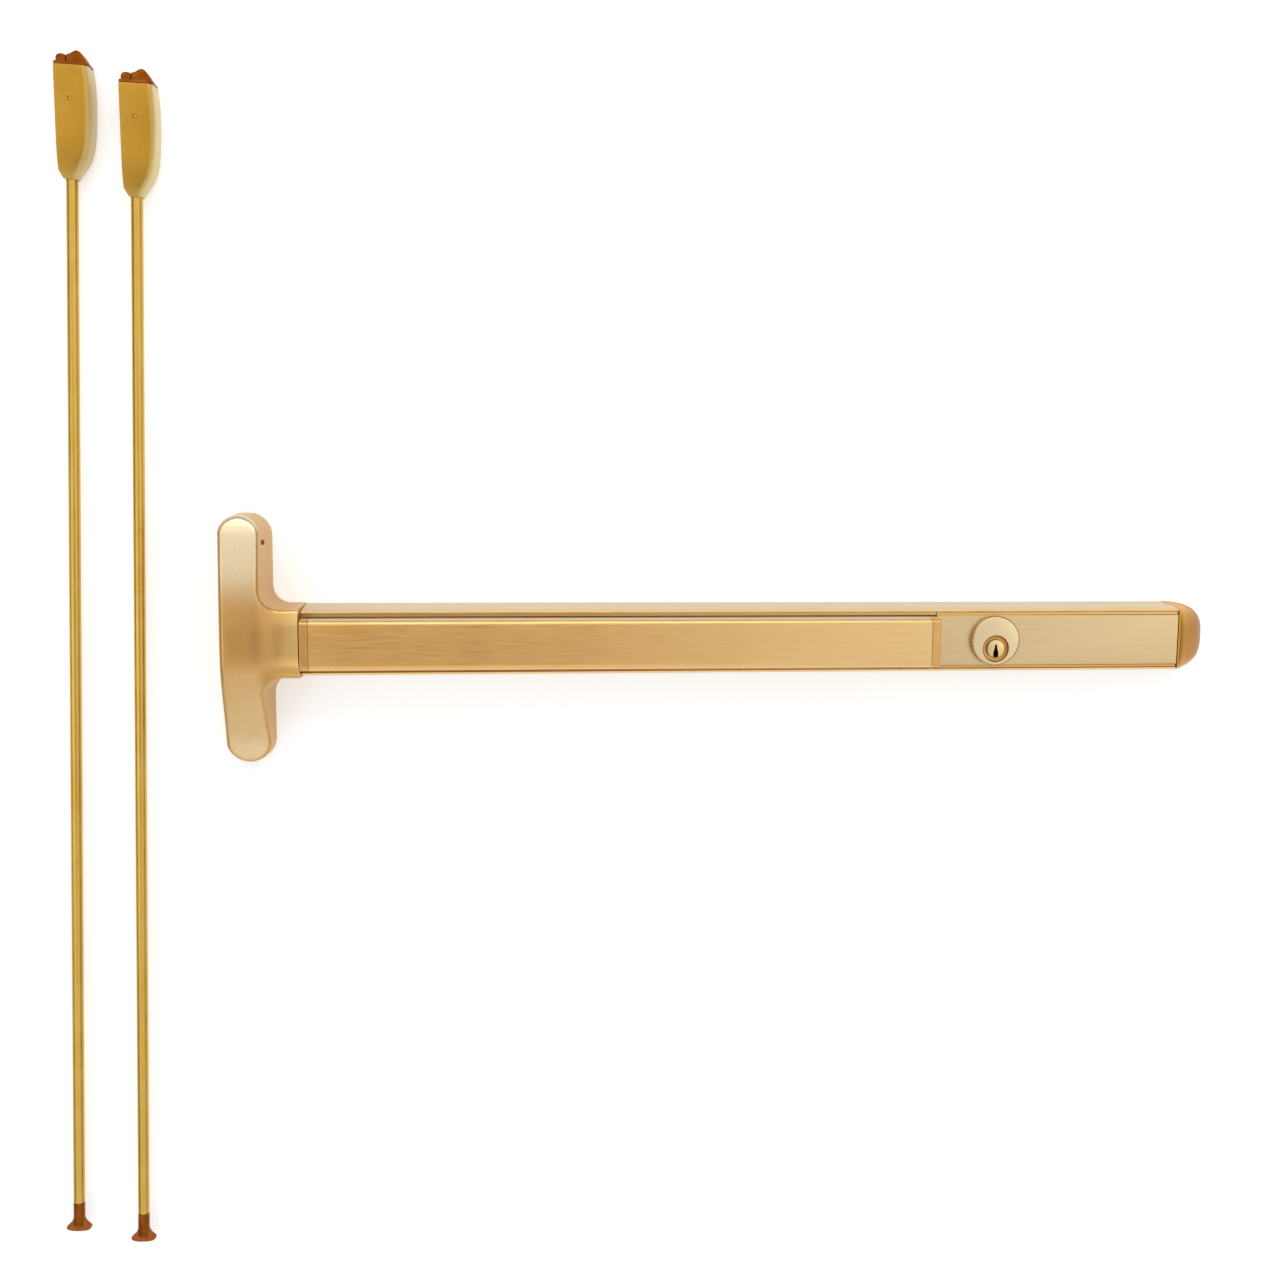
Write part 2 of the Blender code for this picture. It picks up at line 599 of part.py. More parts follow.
# key cylinder
def make_cylinder():
    body = turned("cylinder_body", [(0, 44.4), (19.0, 44.4), (20.8, 44.0), (LOCK_FACE, 42.8),
                                    (LOCK_FACE, 39.6), (17.6, 39.6), (17.6, 15.0), (0, 15.0)], "z",
                  at=(LOCK_X, 0), look=BRONZE, sides=48)
    cut(body, rod("plug_bore", "z", PLUG_RADIUS + GAP, 5, 60, at=(LOCK_X, -PLUG_DROP), sides=32),
        rod("plug_ring", "z", 11.5, 42.6, 60, at=(LOCK_X, -PLUG_DROP), sides=36))
    plug = rod("key_plug", "z", PLUG_RADIUS, 15.0, 44.6, at=(LOCK_X, -PLUG_DROP), look=BRONZE, sides=32)
    y = -PLUG_DROP
    slot = [(2.2, -9.0), (2.4, -4.4), (1.9, -1.6), (1.2, 0.6), (0.8, 3.8)]
    slot += [(-u, v) for u, v in reversed(slot)]
    cut(plug, plate("keyway", "xy", [(LOCK_X + u, y + v) for u, v in slot], 36, 50))
    move_origin(plug, (LOCK_X, y, 30))
    lobe = arc(LOCK_X, y, 6.0, 30, 330, 16) + [(LOCK_X + 13.5, y - 2.4), (LOCK_X + 13.5, y + 2.4)]
    cam = plate("cylinder_cam", "xy", lobe, 11.6, 14.7, STEEL)
    move_origin(cam, (LOCK_X, y, 13))


# rod and latch sets
def case_back(s):
    """Place of the case's back at a height along the rod."""
    return CASE_BACK_TOP + (CASE_BACK_LOW - CASE_BACK_TOP) * (CASE_TOP - s) / CASE_STRAIGHT


def case_solid(name, parent, look=None, inset=0.0):
    """Latch case as a loft of levels: square at the back, rounded at the front, drawn down to the rod.
    With an inset it is the hollow, which runs out at the back and at the top."""
    middle = CASE_WIDTH / 2
    bm = bmesh.new()
    rings = []
    for below, front, half in CASE_FORM:
        s = CASE_TOP - below
        back = case_back(s) if below <= CASE_STRAIGHT else -5.0
        if inset:
            back = case_back(s) - 9.0 if below <= CASE_STRAIGHT else -5.0 + inset
            s += 9.0 if below == 0 else (inset * 1.2 if below > CASE_STRAIGHT else inset * 0.5)
        elif below > CASE_STRAIGHT:
            back = between(((CASE_STRAIGHT, CASE_BACK_LOW), (CASE_LENGTH, -5.0)), below)
        radius = min(CASE_ROUND, half - 0.4) - inset
        x, low, high = front - inset - radius, middle - half + inset + radius, middle + half - inset - radius
        ring = [(back, low - radius)] + arc(x, low, radius, -90, 0, 5) + arc(x, high, radius, 0, 90, 5) \
            + [(back, high + radius)]
        rings.append([bm.verts.new((u * MM, s * MM, v * MM)) for u, v in ring])
    for low, high in zip(rings, rings[1:]):
        for i in range(len(low)):
            j = (i + 1) % len(low)
            bm.faces.new((low[i], low[j], high[j], high[i]))
    bm.faces.new(rings[0])
    bm.faces.new(rings[-1])
    return finish(name, bm, look, parent)


def make_case(tag, parent):
    middle = CASE_WIDTH / 2
    cover = case_solid("latch_cover_" + tag, parent, GOLD)
    cut(cover, case_solid("case_hollow_" + tag, parent, inset=CASE_WALL),
        rod("case_bore_" + tag, "y", ROD_RADIUS + 0.4, 875, ROD_END, at=(0, middle), parent=parent, sides=28),
        rod("rivet_hole_" + tag, "z", 1.9, 20, 30, at=(1.4, CASE_TOP - 26), parent=parent, sides=16))

    low, high = CASE_TOP - 62, CASE_TOP - 30
    strip = [(case_back(low), low), (case_back(low) + 1.6, low), (case_back(high) + 1.6, high),
             (case_back(high), high)]
    base = plate("latch_base_" + tag, "xy", strip, 2.4, 21.6, STEEL, parent)
    lug = CASE_TOP - 48
    join(base, box("base_lug_" + tag, (case_back(lug) + 0.7, 6), (lug, lug + 3), (4, 20), parent=parent))
    cut(base, rod("lug_hole_" + tag, "y", 2.8, lug - 10, lug + 10, at=(0, middle), parent=parent))

    low, high, side, corner = 0.5, CASE_WIDTH - 0.5, 15.2, 5.6
    slot_low, slot_high, slot_side = 4.6, 19.4, 13.8
    rim = [(CASE_BACK_TOP, low)] + arc(side - corner, low + corner, corner, -90, 0, 5)
    rim += arc(side - corner, high - corner, corner, 0, 90, 5) + [(CASE_BACK_TOP, high)]
    rim += [(CASE_BACK_TOP, slot_high), (slot_side, slot_high), (slot_side, slot_low),
            (CASE_BACK_TOP, slot_low)]
    plate("latch_cap_" + tag, "xz", rim, CASE_TOP + GAP, CASE_TOP + 2.7, DARK_BRONZE, parent)
    turned("cover_rivet_" + tag, [(0, 24.1), (1.2, 24.0), (1.6, 23.7), (1.6, 21.0), (0, 21.0)], "z",
           at=(1.4, CASE_TOP - 26), look=GOLD, parent=parent, sides=14)


def above_case(points):
    """Points given as a place across the set and a height above the top of its case."""
    return [(x, CASE_TOP + height) for x, height in points]


def make_latch(tag, parent):
    middle = CASE_WIDTH / 2
    nose = above_case([(-2.4, -22), (13.0, -22), (13.0, 4.6), (11.6, 7.0), (10.2, 9.2), (8.6, 11.2),
                       (7.0, 12.3), (5.2, 12.4), (3.6, 11.8), (2.0, 10.8), (0.4, 9.9), (-2.4, 9.0)])
    bolt = plate("latch_bolt_" + tag, "xy", nose, 5, 19, DARK_BRONZE, parent)
    join(bolt, rod("bolt_tail_" + tag, "y", 2.3, ROD_END + GAP, CASE_TOP - 18, at=(0, middle), parent=parent))
    trip = above_case([(-9.6, -22), (-4.6, -22), (-4.6, -14), (-2.9, -12), (-2.9, 8.6), (-4.2, 9.2),
                       (-6.4, 9.4), (-8.4, 9.0), (-9.8, 7.9), (-10.5, 6.0)])
    plate("trigger_" + tag, "xy", trip, 5, 19, DARK_BRONZE, parent)
    spring("bolt_spring_" + tag, "y", 3.4, 0.9, CASE_TOP - 44.7, CASE_TOP - 22.3, 5, (0, middle), SPRING,
           parent)
    hexagon = arc(0, middle, 6.3, 30, 330, 5)
    bore = arc(0, middle, 2.7, 0, 340, 17)
    plate("rod_nut_" + tag, "xz", hexagon, ROD_END + GAP, ROD_END + 5.0, STEEL, parent, holes=(bore,))
    rod("rod_" + tag, "y", ROD_RADIUS, ROD_START, ROD_END, at=(0, middle), look=GOLD, parent=parent, sides=20)
    flare = [(0, 25.6), (4.8, 25.6), (4.8, 13.4), (5.2, 10.6), (6.2, 8.4), (7.8, 6.4), (9.4, 4.8),
             (FLANGE_RADIUS, 3.5), (10.2, 2.4), (8.8, 1.2), (5.4, 0.3), (0, 0)]
    foot = turned("rod_foot_" + tag, flare, "y", at=(0, middle), look=DARK_BRONZE, parent=parent)
    flats = (middle - FLARE_HALF, middle + FLARE_HALF)
    combine(foot, box("foot_flats_" + tag, (-14, 14), (-5, 30), flats, parent=parent), 'INTERSECT')
    join(foot, turned("foot_stem_" + tag, [(0, 25.6), (4.8, 25.6), (4.8, 6.0), (3.8, 4.0), (0, 3.0)], "y",
                      at=(0, middle), parent=parent))


def make_sets():
    for tag, (x, y), lean in SETS:
        frame = bpy.data.objects.new("rod_set_" + tag, None)
        frame.location = (x * MM, y * MM, 0)
        frame.rotation_euler = (0, 0, -radians(lean))
        KIT.objects.link(frame)
        make_case(tag, frame)
        make_latch(tag, frame)


make_head()
make_rail()
make_pad()
make_mechanism()
make_cylinder()
make_sets()
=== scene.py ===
"""Looks of the vertical rod exit device: a satin bronze touch bar with two loose rod and latch sets.

Lengths in this script are in millimetres, in the frame of the CAD model: X along the bar, Y along
the rods, Z up.
"""
from math import cos, pi, radians, sin

import bmesh
import bpy
from mathutils import Matrix, Vector


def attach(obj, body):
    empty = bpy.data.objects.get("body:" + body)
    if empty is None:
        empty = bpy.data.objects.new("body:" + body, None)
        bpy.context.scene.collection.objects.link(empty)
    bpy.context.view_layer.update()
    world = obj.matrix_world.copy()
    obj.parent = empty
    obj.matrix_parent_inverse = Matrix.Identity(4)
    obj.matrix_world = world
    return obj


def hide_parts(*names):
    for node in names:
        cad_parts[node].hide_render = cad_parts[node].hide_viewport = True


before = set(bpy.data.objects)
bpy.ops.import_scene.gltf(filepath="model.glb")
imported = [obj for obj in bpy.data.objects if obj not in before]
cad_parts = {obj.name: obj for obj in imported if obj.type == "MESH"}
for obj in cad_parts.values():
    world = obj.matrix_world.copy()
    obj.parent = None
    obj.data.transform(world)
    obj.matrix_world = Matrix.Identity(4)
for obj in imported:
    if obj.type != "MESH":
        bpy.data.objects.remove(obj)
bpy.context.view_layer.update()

MM = 0.001
EDGE = 0.5   # usual rounding of an edge

# camera, fitted to the straight edges of the bar in the photo
CAMERA_PLACE = (209.8, 139.0, 1218.8)
CAMERA_PITCH = 6.61
CAMERA_YAW = 5.89
CAMERA_ROLL = -0.41
CAMERA_LENS = 39.375

# head
HEAD_HALF_WIDTH = 20.5
HEAD_TOP = 108.0
HEAD_BOTTOM = -105.0
HEAD_END_DEPTH = 19.0
HEAD_WALL = 2.4
HOLLOW_TOP = 55.5
LEFT_DRAFT = 0.09
RIGHT_DRAFT = 0.055
NECK_DRAFT = 0.02
END_DRAFT = 0.015
NECK_HALF_HEIGHT = 31.0
NECK_FILLET = 15.0
NECK_END = 47.7
EDGE_ROUND = 4.4
NECK_ROUND = 0.68
PORT_Z = 8.8
PORT_RADIUS = 5.4
HEAD_SCREW = (84.0, 36.0)

# bar
RAIL_START = 48.1
RAIL_END = 811.4
LIP_MOUTH = 24.8
GUIDE_HALF = 21.8
GUIDE_TOP = 37.0
PAD_START = 48.3
PAD_END = 589.4
PAD_CAP = 7.2
PAD_JOINT = 0.3
PAD_HALF = 21.4
PAD_FRONT = 57.0
PAD_SKIRT = 27.0
PAD_WALL = 1.8
PAD_ROUND = 5.0
COVER_START = 591.0
COVER_HALF = 22.2
COVER_FRONT = 39.3
COVER_EDGE = 0.8
COVER_SHEET = 1.6
END_CAP_TIP = 851.6
LOCK_X = 643.1
PLUG_DROP = 7.0
PLUG_RADIUS = 7.7

# rod and latch sets: place of the foot and lean of the rod
SETS = (("a", (-157.3, -521.3), 1.79), ("b", (-102.7, -533.9), 1.51))
CASE_TOP = 983.2
CASE_LENGTH = 87.0
CASE_WIDTH = 24.0
CASE_MIDDLE = CASE_WIDTH / 2
CASE_BACK_TOP = -11.0
CASE_BACK_LOW = -8.3
CASE_BACK_TAIL = -5.0
CASE_STRAIGHT = 81.0
RUN_OUT = 9.0   # how far the case's hollow runs out at the back and at the top
CASE_WALL = 1.6
CASE_ROUND = 6.0
CASE_FORM = ((0, 15.6, 12.0), (10, 17.0, 12.0), (25, 17.9, 12.0), (40, 17.9, 12.0), (55, 17.2, 12.0),
             (65, 15.8, 11.6), (73, 13.2, 10.6), (79, 10.0, 9.2), (81, 9.0, 8.7), (84, 7.3, 7.6),
             (87, 6.0, 6.3))   # distance below the top, depth in front of the rod, half width
ROD_RADIUS = 4.75
ROD_START = 25.9
ROD_END = CASE_TOP - 62.0
FLANGE_RADIUS = 10.6
FLARE_HALF = 2.6


# materials
def new_material(name):
    mat = bpy.data.materials.new(name)
    mat.use_nodes = True
    return mat, mat.node_tree.nodes, mat.node_tree.links


def noise(nodes, links, scale, detail, stretch=(1, 1, 1)):
    """Noise on the object's own coordinates; stretch sets how fast it changes along each axis."""
    coord = nodes.new("ShaderNodeTexCoord")
    mapping = nodes.new("ShaderNodeMapping")
    mapping.inputs["Scale"].default_value = stretch
    tex = nodes.new("ShaderNodeTexNoise")
    tex.inputs["Scale"].default_value = scale
    tex.inputs["Detail"].default_value = detail
    tex.inputs["Roughness"].default_value = 0.55
    links.new(coord.outputs["Object"], mapping.inputs["Vector"])
    links.new(mapping.outputs["Vector"], tex.inputs["Vector"])
    return tex.outputs["Fac"]


def ranged(nodes, links, value, low, high, out_low, out_high, eased=False):
    """A value mapped from one range to another, kept within it."""
    node = nodes.new("ShaderNodeMapRange")
    if eased:
        node.interpolation_type = 'SMOOTHSTEP'
    for name, number in (("From Min", low), ("From Max", high), ("To Min", out_low), ("To Max", out_high)):
        node.inputs[name].default_value = number
    links.new(value, node.inputs["Value"])
    return node.outputs["Result"]


def coordinate(nodes, links, kind, axis):
    """One axis of the object's own coordinates (Object) or of its normal (Normal)."""
    source = nodes.new("ShaderNodeTexCoord")
    split = nodes.new("ShaderNodeSeparateXYZ")
    links.new(source.outputs[kind], split.inputs["Vector"])
    return split.outputs[axis]


def combined(nodes, links, operation, a, b):
    """The result of a maths node for two values, each a number or a socket."""
    node = nodes.new("ShaderNodeMath")
    node.operation = operation
    for socket, value in zip(node.inputs, (a, b)):
        if isinstance(value, bpy.types.NodeSocket):
            links.new(value, socket)
        else:
            socket.default_value = value
    return node.outputs[0]


def shows_background(nodes, links):
    """1 for the rays that show the background: seen by the camera, in a reflection or through glass."""
    rays = nodes.new("ShaderNodeLightPath").outputs
    seen = combined(nodes, links, 'MAXIMUM', rays["Is Camera Ray"], rays["Is Glossy Ray"])
    return combined(nodes, links, 'MAXIMUM', seen, rays["Is Transmission Ray"])


def mixed(nodes, links, factor, a, b, blend='MIX'):
    """Mix of two colours, each a tuple or a socket."""
    node = nodes.new("ShaderNodeMix")
    node.data_type = 'RGBA'
    node.blend_type = blend
    for socket, value in ((node.inputs["Factor"], factor), (node.inputs[6], a), (node.inputs[7], b)):
        if isinstance(value, bpy.types.NodeSocket):
            links.new(value, socket)
        elif isinstance(value, tuple):
            socket.default_value = (*value, 1.0)
        else:
            socket.default_value = value
    return node.outputs[2]


def srgb(code):
    """A colour as the shader wants it, from its usual six-figure code."""
    parts = [int(code[i:i + 2], 16) / 255 for i in (0, 2, 4)]
    return tuple(p / 12.92 if p <= 0.04045 else ((p + 0.055) / 1.055) ** 2.4 for p in parts)


def satin_metal(name, light, deep, grain, rough, metal=0.92, coat=0.08, patch=26.0, grain_depth=0.35,
                tone=(), crease_shade=None, wall=None):
    """Brushed, lacquered metal: cloudy tone, fine grain along one axis, worn lighter edges.
    tone has rows of axis, place, width and colour: each a soft change to another tone across the piece, used
    for painted light and shade. The deeper colour given for rounded edges is painted shade on them, faded out
    where they face +Y. wall is (low, high, colour, metal): painted light and shade on upright faces, full
    where the object normal's Z is under the low value and gone above the high one."""
    mat, nodes, links = new_material(name)
    shader = nodes["Principled BSDF"]
    cloud = ranged(nodes, links, noise(nodes, links, patch, detail=4.0), 0.32, 0.68, 0.0, 1.0)
    colour = mixed(nodes, links, cloud, deep, light)
    # painted light and shade: soft bands of another tone across the piece
    for axis, place, width, other in tone:
        share = ranged(nodes, links, coordinate(nodes, links, "Object", axis), (place - width) * MM,
                       (place + width) * MM, 0.0, 1.0, eased=True)
        colour = mixed(nodes, links, share, colour, other)
    if crease_shade:
        # painted shade: a deeper tone on rounded edges that slope, faded out where they face +Y
        rise = coordinate(nodes, links, "Normal", 2)
        shade_band = combined(nodes, links, 'MINIMUM', ranged(nodes, links, rise, 0.12, 0.4, 0.0, 0.85),
                        ranged(nodes, links, rise, 0.72, 0.94, 0.85, 0.0))
        away = ranged(nodes, links, coordinate(nodes, links, "Normal", 1), 0.15, 0.5, 1.0, 0.0)
        colour = mixed(nodes, links, combined(nodes, links, 'MULTIPLY', shade_band, away), colour, crease_shade)
    if wall:
        # painted light and shade: another tone and metalness on upright faces
        low, high, painted_wall_colour, wall_metal = wall
        upright = ranged(nodes, links, coordinate(nodes, links, "Normal", 2), low, high, 0.9, 0.0)
        colour = mixed(nodes, links, upright, colour, painted_wall_colour)
    fine = noise(nodes, links, 1.0, detail=2.0, stretch=grain)
    streak = ranged(nodes, links, fine, 0.3, 0.7, 0.94, 1.06)
    shade = nodes.new("ShaderNodeCombineColor")
    for i in range(3):
        links.new(streak, shade.inputs[i])
    colour = mixed(nodes, links, 1.0, colour, shade.outputs["Color"], 'MULTIPLY')
    geometry = nodes.new("ShaderNodeNewGeometry")
    edge = ranged(nodes, links, geometry.outputs["Pointiness"], 0.53, 0.62, 0.0, 0.35)
    colour = mixed(nodes, links, edge, colour, tuple(min(c * 1.25 + 0.04, 1.0) for c in light))
    links.new(colour, shader.inputs["Base Color"])
    links.new(ranged(nodes, links, fine, 0.3, 0.7, rough - 0.05, rough + 0.06), shader.inputs["Roughness"])
    shader.inputs["Metallic"].default_value = metal
    if wall and wall_metal != metal:
        links.new(ranged(nodes, links, upright, 0.0, 0.9, metal, wall_metal), shader.inputs["Metallic"])
    shader.inputs["Coat Weight"].default_value = coat
    shader.inputs["Coat Roughness"].default_value = 0.24
    bump = nodes.new("ShaderNodeBump")
    bump.inputs["Strength"].default_value = grain_depth
    bump.inputs["Distance"].default_value = 0.00006
    links.new(fine, bump.inputs["Height"])
    links.new(bump.outputs["Normal"], shader.inputs["Normal"])
    return mat


# how fast the grain changes along each axis
ALONG_X = (40, 1800, 1800)
ALONG_Y = (1800, 40, 1800)
EVERY_WAY = (900, 900, 900)

# Painted light and shade: darker across the middle of the head, paler on the upper arm, painted shade on the
# rounded edges and a deeper painted tone on the upright sides; the neck gets a warmer, lighter tone.
HEAD_METAL = satin_metal("cast_bronze", srgb("E6CDA2"), srgb("DBBD88"), EVERY_WAY, rough=0.38,
                         grain_depth=0.25, crease_shade=srgb("C0924C"), wall=(0.08, 0.4, srgb("C99845"), 0.92),
                         tone=((1, -30.0, 22.0, srgb("CC9C5C")), (1, 46.0, 22.0, srgb("E6D2AC")),
                               (0, 34.0, 14.0, srgb("E6BD7A"))))
# Painted light: a lighter band at the ledge's height, where the groove between lip and pad lies in shade.
RAIL_METAL = satin_metal("rail_bronze", srgb("CBB48A"), srgb("C5AC81"), ALONG_X, rough=0.34,
                         tone=((2, 37.6, 1.2, srgb("F0BE6C")),))
# Painted light: paler toward the right end, and a painted highlight along the upper rounded edge.
PAD_METAL = satin_metal("pad_bronze", srgb("E4B56E"), srgb("D9A75E"), ALONG_X, rough=0.38, patch=14.0,
                        tone=((0, 400.0, 330.0, srgb("D6B885")), (1, 19.6, 1.4, srgb("C6B899"))))
TRIM_METAL = satin_metal("trim_bronze", srgb("D9AB68"), srgb("D2A05A"), EVERY_WAY, rough=0.4, coat=0.04)
# Painted shade: darker toward the tip of the end cap.
CAP_METAL = satin_metal("cap_bronze", srgb("DAA13F"), srgb("C48630"), EVERY_WAY, rough=0.4, coat=0.0,
                        tone=((0, 830.0, 12.0, srgb("AE741E")),))
# Painted light along the long edges: paler along the lower one, the deeper tone along the upper one.
COVER_METAL = satin_metal("cover_bronze", srgb("D0AB70"), srgb("CCA66B"), ALONG_X, rough=0.36,
                          tone=((1, -21.2, 0.5, srgb("CDB488")), (1, 21.2, 0.5, srgb("CDA76B"))))
# Painted light and shade: a pale face, a darker rounded rim, and paler, less metallic upright walls.
LOCK_METAL = satin_metal("lock_bronze", srgb("BC8C4A"), srgb("A87434"), EVERY_WAY, rough=0.3,
                         tone=((2, 44.05, 0.12, srgb("D8C39B")),), wall=(0.1, 0.6, srgb("D2B080"), 0.5))
# Painted shade: the plug is dark brown so its keyway and the gap around it read as shade, with a pale face.
PLUG_METAL = satin_metal("plug_bronze", srgb("6E3A10"), srgb("502808"), EVERY_WAY, rough=0.34,
                         tone=((2, 43.9, 0.2, srgb("E2C893")),))
ROD_METAL = satin_metal("rod_gold", srgb("D2AE58"), srgb("C69F40"), ALONG_Y, rough=0.36, metal=1.0, coat=0.0)
# Painted light: every face that turns away from straight up, the rounded front most of all, is pale and less
# metallic.
CASE_METAL = satin_metal("case_gold", srgb("B68A28"), srgb("AA7E20"), ALONG_Y, rough=0.42, metal=1.0,
                         coat=0.3, wall=(0.6, 0.99, srgb("E6CE8C"), 0.2))
CROWN_METAL = satin_metal("crown_bronze", srgb("9E5818"), srgb("7C3E0A"), EVERY_WAY, rough=0.45,
                          metal=1.0, coat=0.0, patch=120.0)
STEEL_METAL = satin_metal("plain_steel", srgb("BFC0BE"), srgb("A9AAA8"), ALONG_X, rough=0.34, metal=1.0,
                          coat=0.0)
SPRING_METAL = satin_metal("spring_steel", srgb("9A9B9C"), srgb("808184"), EVERY_WAY, rough=0.28,
                           metal=1.0, coat=0.0)


# building helpers
SHARP_ANGLE = 32   # degrees between two faces above which their edge is drawn sharp
WELD = 1e-4        # points closer than this become one


def piece(name, bm, material, body=None, node=None, angle=SHARP_ANGLE):
    """A piece of the object made from a mesh in millimetres. It rides a body and stands for a CAD node;
    pieces of the setting and hidden cutters have neither."""
    bmesh.ops.scale(bm, vec=(MM, MM, MM), verts=bm.verts)
    bmesh.ops.recalc_face_normals(bm, faces=bm.faces)
    mesh = bpy.data.meshes.new(name)
    bm.to_mesh(mesh)
    bm.free()
    mesh.materials.append(material)
    mesh.shade_smooth()
    mesh.set_sharp_from_angle(angle=radians(angle))
    obj = bpy.data.objects.new(name, mesh)
    bpy.context.scene.collection.objects.link(obj)
    if body:
        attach(obj, body)
        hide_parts(node)
    return obj


def cutter(name, bm):
    """A hidden piece that only cuts, or adds to, a visible one."""
    obj = piece(name, bm, STEEL_METAL)
    obj.hide_render = True
    obj.hide_viewport = True
    return obj


def arc(cx, cy, radius, start, end, steps):
    """Points on an arc, angles in degrees."""
    return [(cx + radius * cos(radians(start + (end - start) * i / steps)),
             cy + radius * sin(radians(start + (end - start) * i / steps))) for i in range(steps + 1)]


def mirrored(half):
    """A half outline and its mirror image across the middle."""
    return half + [(-u, v) for u, v in reversed(half)]


def evaluated_mesh(obj):
    """An object's mesh with its curve settings or modifiers applied."""
    return bpy.data.meshes.new_from_object(obj.evaluated_get(bpy.context.evaluated_depsgraph_get()))


def curve_mesh(curve, points, closed):
    """The mesh of a curve through points."""
    line = curve.splines.new('POLY')
    line.points.add(len(points) - 1)
    for point, place in zip(line.points, points):
        point.co = (*place, 1.0)
    line.use_cyclic_u = closed
    obj = bpy.data.objects.new("curve", curve)
    bpy.context.scene.collection.objects.link(obj)
    mesh = evaluated_mesh(obj)
    bpy.data.objects.remove(obj, do_unlink=True)
    bm = bmesh.new()
    bm.from_mesh(mesh)
    bmesh.ops.remove_doubles(bm, verts=bm.verts, dist=WELD)
    return bm


def join_rings(bm, rings):
    """Side faces between closed loops that have as many points each."""
    for low, high in zip(rings, rings[1:]):
        for i in range(len(low)):
            j = (i + 1) % len(low)
            bm.faces.new((low[i], low[j], high[j], high[i]))


# how a flat outline is stood up in a plane, and the axis across that plane
PLANE = {"xy": Matrix.Identity(4),
         "xz": Matrix.Rotation(pi / 2, 4, 'X'),
         "yz": Matrix.Rotation(pi / 2, 4, 'Z') @ Matrix.Rotation(pi / 2, 4, 'X')}
PLANE_NORMAL = {"xy": (0, 0, 1), "xz": (0, 1, 0), "yz": (1, 0, 0)}
# how a form that is turned about Z is laid along an axis
TURN = {"x": Matrix.Rotation(pi / 2, 4, 'Y'), "y": Matrix.Rotation(-pi / 2, 4, 'X'), "z": Matrix.Identity(4)}


def along(bm, axis, at):
    """Lay a mesh made about Z along an axis, at a place on the other two."""
    middle = list(at)
    middle.insert("xyz".index(axis), 0.0)
    bmesh.ops.transform(bm, matrix=Matrix.Translation(middle) @ TURN[axis], verts=bm.verts)
    return bm


def outline_mesh(plane, outline, start, end):
    """A flat outline as a solid between two limits on the third axis."""
    curve = bpy.data.curves.new("outline", 'CURVE')
    curve.dimensions = '2D'
    curve.fill_mode = 'BOTH'
    curve.extrude = (end - start) / 2
    bm = curve_mesh(curve, [(u, v, 0.0) for u, v in outline], closed=True)
    bmesh.ops.dissolve_limit(bm, angle_limit=radians(0.1), verts=bm.verts, edges=bm.edges)
    place = Matrix.Translation(Vector(PLANE_NORMAL[plane]) * (start + end) / 2)
    bmesh.ops.transform(bm, matrix=place @ PLANE[plane], verts=bm.verts)
    return bm


def block(x, y, z):
    """A box between two limits on each axis."""
    bm = bmesh.new()
    bmesh.ops.create_cube(bm, size=1.0)
    size = [b - a for a, b in (x, y, z)]
    middle = [(a + b) / 2 for a, b in (x, y, z)]
    bmesh.ops.transform(bm, matrix=Matrix.Translation(middle) @ Matrix.Diagonal((*size, 1.0)), verts=bm.verts)
    return bm


def turned_mesh(profile, axis, at, sides):
    """A turned solid from radius and height pairs."""
    bm = bmesh.new()
    verts = [bm.verts.new((r, 0.0, h)) for r, h in profile]
    edges = [bm.edges.new(pair) for pair in zip(verts, verts[1:])]
    bmesh.ops.spin(bm, geom=verts + edges, cent=(0, 0, 0), axis=(0, 0, 1), angle=2 * pi, steps=sides,
                   use_merge=True)
    bmesh.ops.remove_doubles(bm, verts=bm.verts, dist=WELD)
    return along(bm, axis, at)


def rod_mesh(axis, radius, start, end, at, sides):
    """A round bar along an axis."""
    return turned_mesh([(0, end), (radius, end), (radius, start), (0, start)], axis, at, sides)


def soften(obj, width, segments=3, angle=50):
    """Round the edges that are sharper than an angle."""
    modifier = obj.modifiers.new("soften", 'BEVEL')
    modifier.width = width * MM
    modifier.segments = segments
    modifier.limit_method = 'ANGLE'
    modifier.angle_limit = radians(angle)


def cut(obj, *cutters, operation='DIFFERENCE'):
    """Cut a piece by hidden ones, or combine it with them by another operation."""
    for other in cutters:
        modifier = obj.modifiers.new("cut", 'BOOLEAN')
        modifier.operation = operation
        modifier.solver = 'EXACT'
        modifier.object = other
    return obj


def settle(obj):
    """Apply the modifiers, so that sharp edges can be set again on the finished mesh."""
    mesh = evaluated_mesh(obj)
    obj.modifiers.clear()
    old = obj.data
    obj.data = mesh
    bpy.data.meshes.remove(old)
    mesh.shade_smooth()
    mesh.set_sharp_from_angle(angle=radians(SHARP_ANGLE))


# head
def smooth(marks, place):
    """A smooth curve through marks, each a place and a value."""
    slopes = []
    for i in range(len(marks)):
        low, high = marks[max(i - 1, 0)], marks[min(i + 1, len(marks) - 1)]
        slopes.append((high[1] - low[1]) / (high[0] - low[0]))
    place = min(max(place, marks[0][0]), marks[-1][0])
    for i, ((y0, d0), (y1, d1)) in enumerate(zip(marks, marks[1:])):
        if place <= y1:
            break
    t, span = (place - y0) / (y1 - y0), y1 - y0
    return ((2 * t ** 3 - 3 * t ** 2 + 1) * d0 + (t ** 3 - 2 * t ** 2 + t) * span * slopes[i]
            + (-2 * t ** 3 + 3 * t ** 2) * d1 + (t ** 3 - t ** 2) * span * slopes[i + 1])


